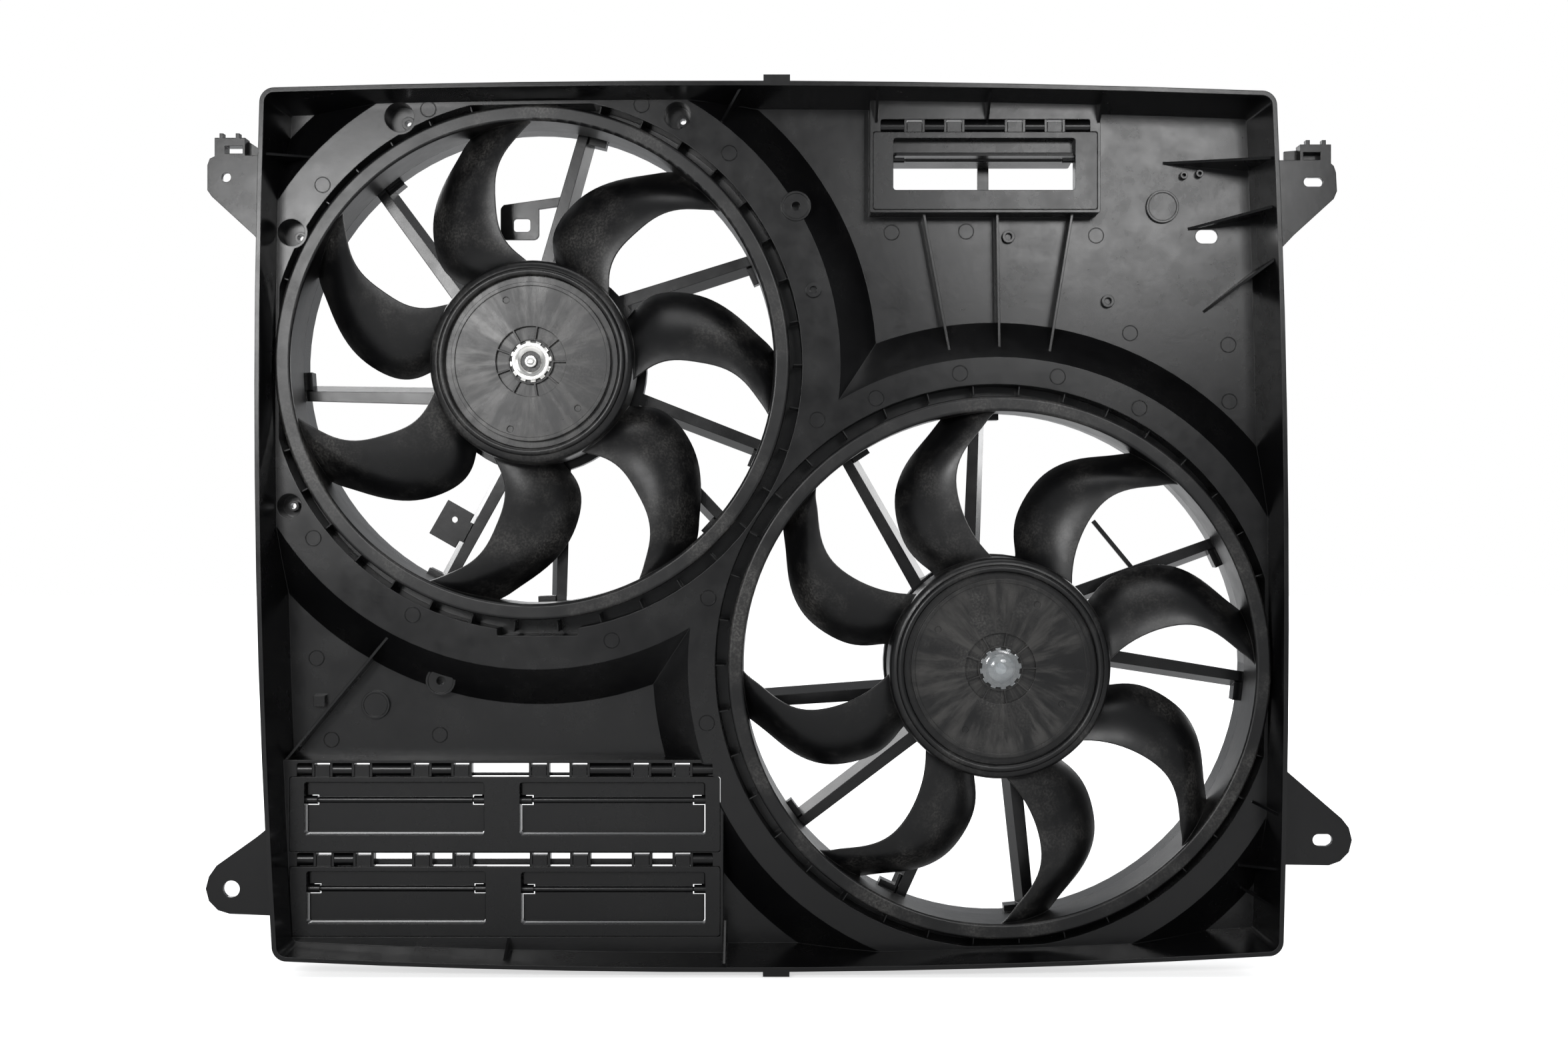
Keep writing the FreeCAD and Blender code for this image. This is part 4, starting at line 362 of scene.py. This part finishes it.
def turned(name, chains, segments=96):
    """Turned piece about Y at the origin, from chains of rings given as radius and depth in mm."""
    bpy.ops.object.select_all(action="DESELECT")
    add_ring(segments, *chains[0][0])
    piece = bpy.context.object
    piece.name = name
    bpy.ops.object.transform_apply(location=True, rotation=True, scale=True)
    bpy.ops.object.mode_set(mode="EDIT")
    bpy.ops.mesh.select_mode(type="VERT")
    for number, chain in enumerate(chains):
        if number:
            bpy.ops.mesh.select_all(action="DESELECT")
            add_ring(segments, *chain[0])
        else:
            bpy.ops.mesh.select_all(action="SELECT")
        for (near, before), (far, after) in zip(chain, chain[1:]):
            bpy.ops.mesh.extrude_edges_move(
                TRANSFORM_OT_translate={"value": (0.0, (after - before) / 1000, 0.0)})
            factor = max(far, POINT_RADIUS) / near
            bpy.ops.transform.resize(
                value=(factor, 1.0, factor), center_override=(0.0, after / 1000, 0.0))
            if far == 0:
                bpy.ops.mesh.merge(type="CENTER")
    bpy.ops.mesh.select_all(action="SELECT")
    bpy.ops.mesh.remove_doubles(threshold=0.000005)
    bpy.ops.mesh.normals_make_consistent(inside=False)
    bpy.ops.object.mode_set(mode="OBJECT")
    return piece


def cut_teeth(piece):
    """Draws square teeth out of a retainer's outer wall, with gaps as wide as the teeth."""
    bpy.ops.object.mode_set(mode="EDIT")
    bpy.ops.mesh.select_mode(type="FACE")
    bpy.ops.mesh.select_all(action="DESELECT")
    mesh = bmesh.from_edit_mesh(piece.data)
    low, high = RETAINER_WALL
    for face in mesh.faces:
        middle = face.calc_center_median()
        turn = math.degrees(math.atan2(middle.z, middle.x)) % 360.0
        upright = abs(face.normal.y) < 0.1
        outside = math.hypot(middle.x, middle.z) > RETAINER_RADIUS * 0.99
        in_tooth = turn * TOOTH_COUNT / 360.0 % 1.0 < 0.5
        face.select = upright and outside and low < middle.y < high and in_tooth
    bmesh.update_edit_mesh(piece.data)
    bpy.ops.mesh.extrude_region_shrink_fatten(TRANSFORM_OT_shrink_fatten={"value": TOOTH_LENGTH})
    bpy.ops.object.mode_set(mode="OBJECT")


def settle(piece, place, material, body, edge=0.0, angle=30.0):
    """Moves a piece to its place, rounds its edges, smooths it and lets it ride."""
    bpy.ops.object.select_all(action="DESELECT")
    piece.select_set(True)
    bpy.context.view_layer.objects.active = piece
    piece.location = place
    bpy.ops.object.transform_apply(location=True, rotation=True, scale=True)
    if edge:
        rounding = piece.modifiers.new("edges", "BEVEL")
        rounding.width = edge
        rounding.segments = 2
        rounding.limit_method = "ANGLE"
        rounding.angle_limit = math.radians(ROUNDED_ANGLE)
        bpy.ops.object.modifier_apply(modifier="edges")
    bpy.ops.object.shade_smooth_by_angle(angle=math.radians(angle))
    piece.data.materials.clear()
    piece.data.materials.append(material)
    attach(piece, body)


def make_push_nut(table):
    """Toothed steel push nut with a dished middle, and the centred shaft end inside it."""
    across, up = FAN_CENTRES["left"]
    nut = turned("push_nut_left", [[
        (6.9, 9.6), (12.8, 9.6), (12.8, 6.9), (12.5, 6.6), (10.5, 6.6), (10.2, 6.9), (9.8, 6.95),
        (7.4, 8.0), (6.9, 8.4), (6.9, 9.6),
    ]])
    cut_teeth(nut)
    settle(nut, (across, 0.0, up), table["retainer_steel"], "fan_left", 0.00015)
    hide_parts("retainer_left")
    tip = turned("shaft_tip_left", [
        [(3.95, 6.7), (3.95, 6.3), (3.5, 5.95), (2.7, 5.9), (2.5, 6.0), (1.7, 6.45), (1.2, 6.5),
         (1.0, 6.35), (0, 6.3)],
        [(3.95, 6.7), (0, 6.7)],
    ], 48)
    settle(tip, (across, 0.0, up), table["retainer_steel"], "fan_left")


def make_cap(table):
    """Toothed nylon cap with a hollow dome over the right shaft end."""
    across, up = FAN_CENTRES["right"]
    cap = turned("nylon_cap_right", [
        [(8.8, 9.6), (12.8, 9.6), (12.8, 6.9), (12.5, 6.6), (10.3, 6.5), (9.6, 6.0), (8.7, 5.0),
         (6.9, 4.2), (3.8, 3.7), (0, 3.62)],
        [(8.8, 9.6), (8.8, 6.9), (8.2, 6.0), (6.7, 5.15), (3.6, 4.6), (0, 4.5)],
    ])
    cut_teeth(cap)
    settle(cap, (across, 0.0, up), table["retainer_nylon"], "fan_right", 0.0002, 40.0)
    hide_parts("retainer_right")


def make_marks(table):
    """Shallow round ejector marks with a fine raised outline."""
    first = turned("ejector_mark", [
        [(5.75, 0.05), (5.6, -0.16), (5.25, -0.16), (5.1, -0.03), (0, -0.03)],
        [(5.75, 0.05), (0, 0.05)],
    ], 48)
    places = [(x, FLOOR_DEPTH, z) for x, z in FLOOR_MARKS]
    places += [(x, RAISED_DEPTH, z) for x, z in RAISED_MARKS]
    for number, place in enumerate(places, 1):
        mark = first.copy()
        mark.data = first.data.copy()
        mark.name = f"ejector_mark_{number}"
        bpy.context.scene.collection.objects.link(mark)
        settle(mark, place, table["shroud_plastic"], "shroud")
    bpy.data.objects.remove(first, do_unlink=True)


def seen_rays(tree):
    """1 for rays by which the surroundings are seen, also through nylon, and less in gloss."""
    rays = add(tree, "ShaderNodeLightPath")
    seen = combine(
        tree, "MAXIMUM", rays.outputs["Is Camera Ray"], rays.outputs["Is Transmission Ray"])
    gloss = combine(tree, "MULTIPLY", rays.outputs["Is Glossy Ray"], GLOSS_SHARE)
    return combine(tree, "MAXIMUM", seen, gloss)


def make_floor():
    """Pale floor under the standing module, white where no shadow falls."""
    bpy.ops.object.select_all(action="DESELECT")
    bpy.ops.mesh.primitive_plane_add(size=FLOOR_SIZE, location=(0.0, 0.0, FLOOR_HEIGHT))
    floor = bpy.context.object
    floor.name = "floor"
    material, tree, shader = shader_tree("pale floor")
    shade = spread(tree, noise(tree, 6.0, 2.0), 0.0, 1.0)
    colour = blend_colours(tree, shade, (0.86, 0.86, 0.86), (0.88, 0.88, 0.88))
    tree.links.new(colour, shader.inputs["Base Color"])
    shader.inputs["Roughness"].default_value = 0.9
    shader.inputs["Specular IOR Level"].default_value = 0.1
    distance = vector_step(tree, "LENGTH", place_on(tree))
    glow = spread(tree, distance, *FLOOR_GLOW, *FLOOR_GLOW_DISTANCES)
    shader.inputs["Emission Color"].default_value = (1.0, 1.0, 1.0, 1.0)
    seen_glow = combine(tree, "MULTIPLY", seen_rays(tree), glow)
    tree.links.new(seen_glow, shader.inputs["Emission Strength"])
    floor.data.materials.append(material)


def make_world():
    """Soft grey surroundings that are seen as white."""
    world = bpy.data.worlds.new("studio")
    bpy.context.scene.world = world
    world.use_nodes = True
    tree = world.node_tree
    tree.nodes.clear()
    soft = add(tree, "ShaderNodeBackground")
    soft.inputs["Color"].default_value = (0.93, 0.96, 1.0, 1.0)
    soft.inputs["Strength"].default_value = SURROUNDINGS_STRENGTH
    white = add(tree, "ShaderNodeBackground")
    white.inputs["Color"].default_value = (1.0, 1.0, 1.0, 1.0)
    white.inputs["Strength"].default_value = 1.0
    mix = add(tree, "ShaderNodeMixShader")
    output = add(tree, "ShaderNodeOutputWorld")
    tree.links.new(seen_rays(tree), mix.inputs["Fac"])
    tree.links.new(soft.outputs["Background"], mix.inputs[1])
    tree.links.new(white.outputs["Background"], mix.inputs[2])
    tree.links.new(mix.outputs["Shader"], output.inputs["Surface"])


def make_lamp(name, place, target, size, power):
    """Soft rectangular lamp turned to a target."""
    data = bpy.data.lights.new(name, "AREA")
    data.shape = "RECTANGLE"
    data.size, data.size_y = size
    data.energy = power
    lamp = bpy.data.objects.new(name, data)
    lamp.location = place
    lamp.rotation_euler = (Vector(target) - Vector(place)).to_track_quat("-Z", "Y").to_euler()
    bpy.context.scene.collection.objects.link(lamp)


def make_camera():
    """Camera that looks straight to the rear."""
    data = bpy.data.cameras.new("camera")
    data.lens = CAMERA_LENS
    data.sensor_width = SENSOR_WIDTH
    data.clip_start, data.clip_end = 0.05, 30.0
    camera = bpy.data.objects.new("camera", data)
    camera.location = CAMERA_PLACE
    camera.rotation_euler = (math.pi / 2, 0.0, 0.0)
    bpy.context.scene.collection.objects.link(camera)
    bpy.context.scene.camera = camera


def make_studio():
    """Floor, surroundings, lamps and the camera."""
    make_floor()
    make_world()
    for lamp in LAMPS:
        make_lamp(*lamp)
    make_camera()
    bpy.context.scene.view_settings.view_transform = "Standard"


make_studio()
table = finishes()
dress_nodes(table)
make_push_nut(table)
make_cap(table)
make_marks(table)
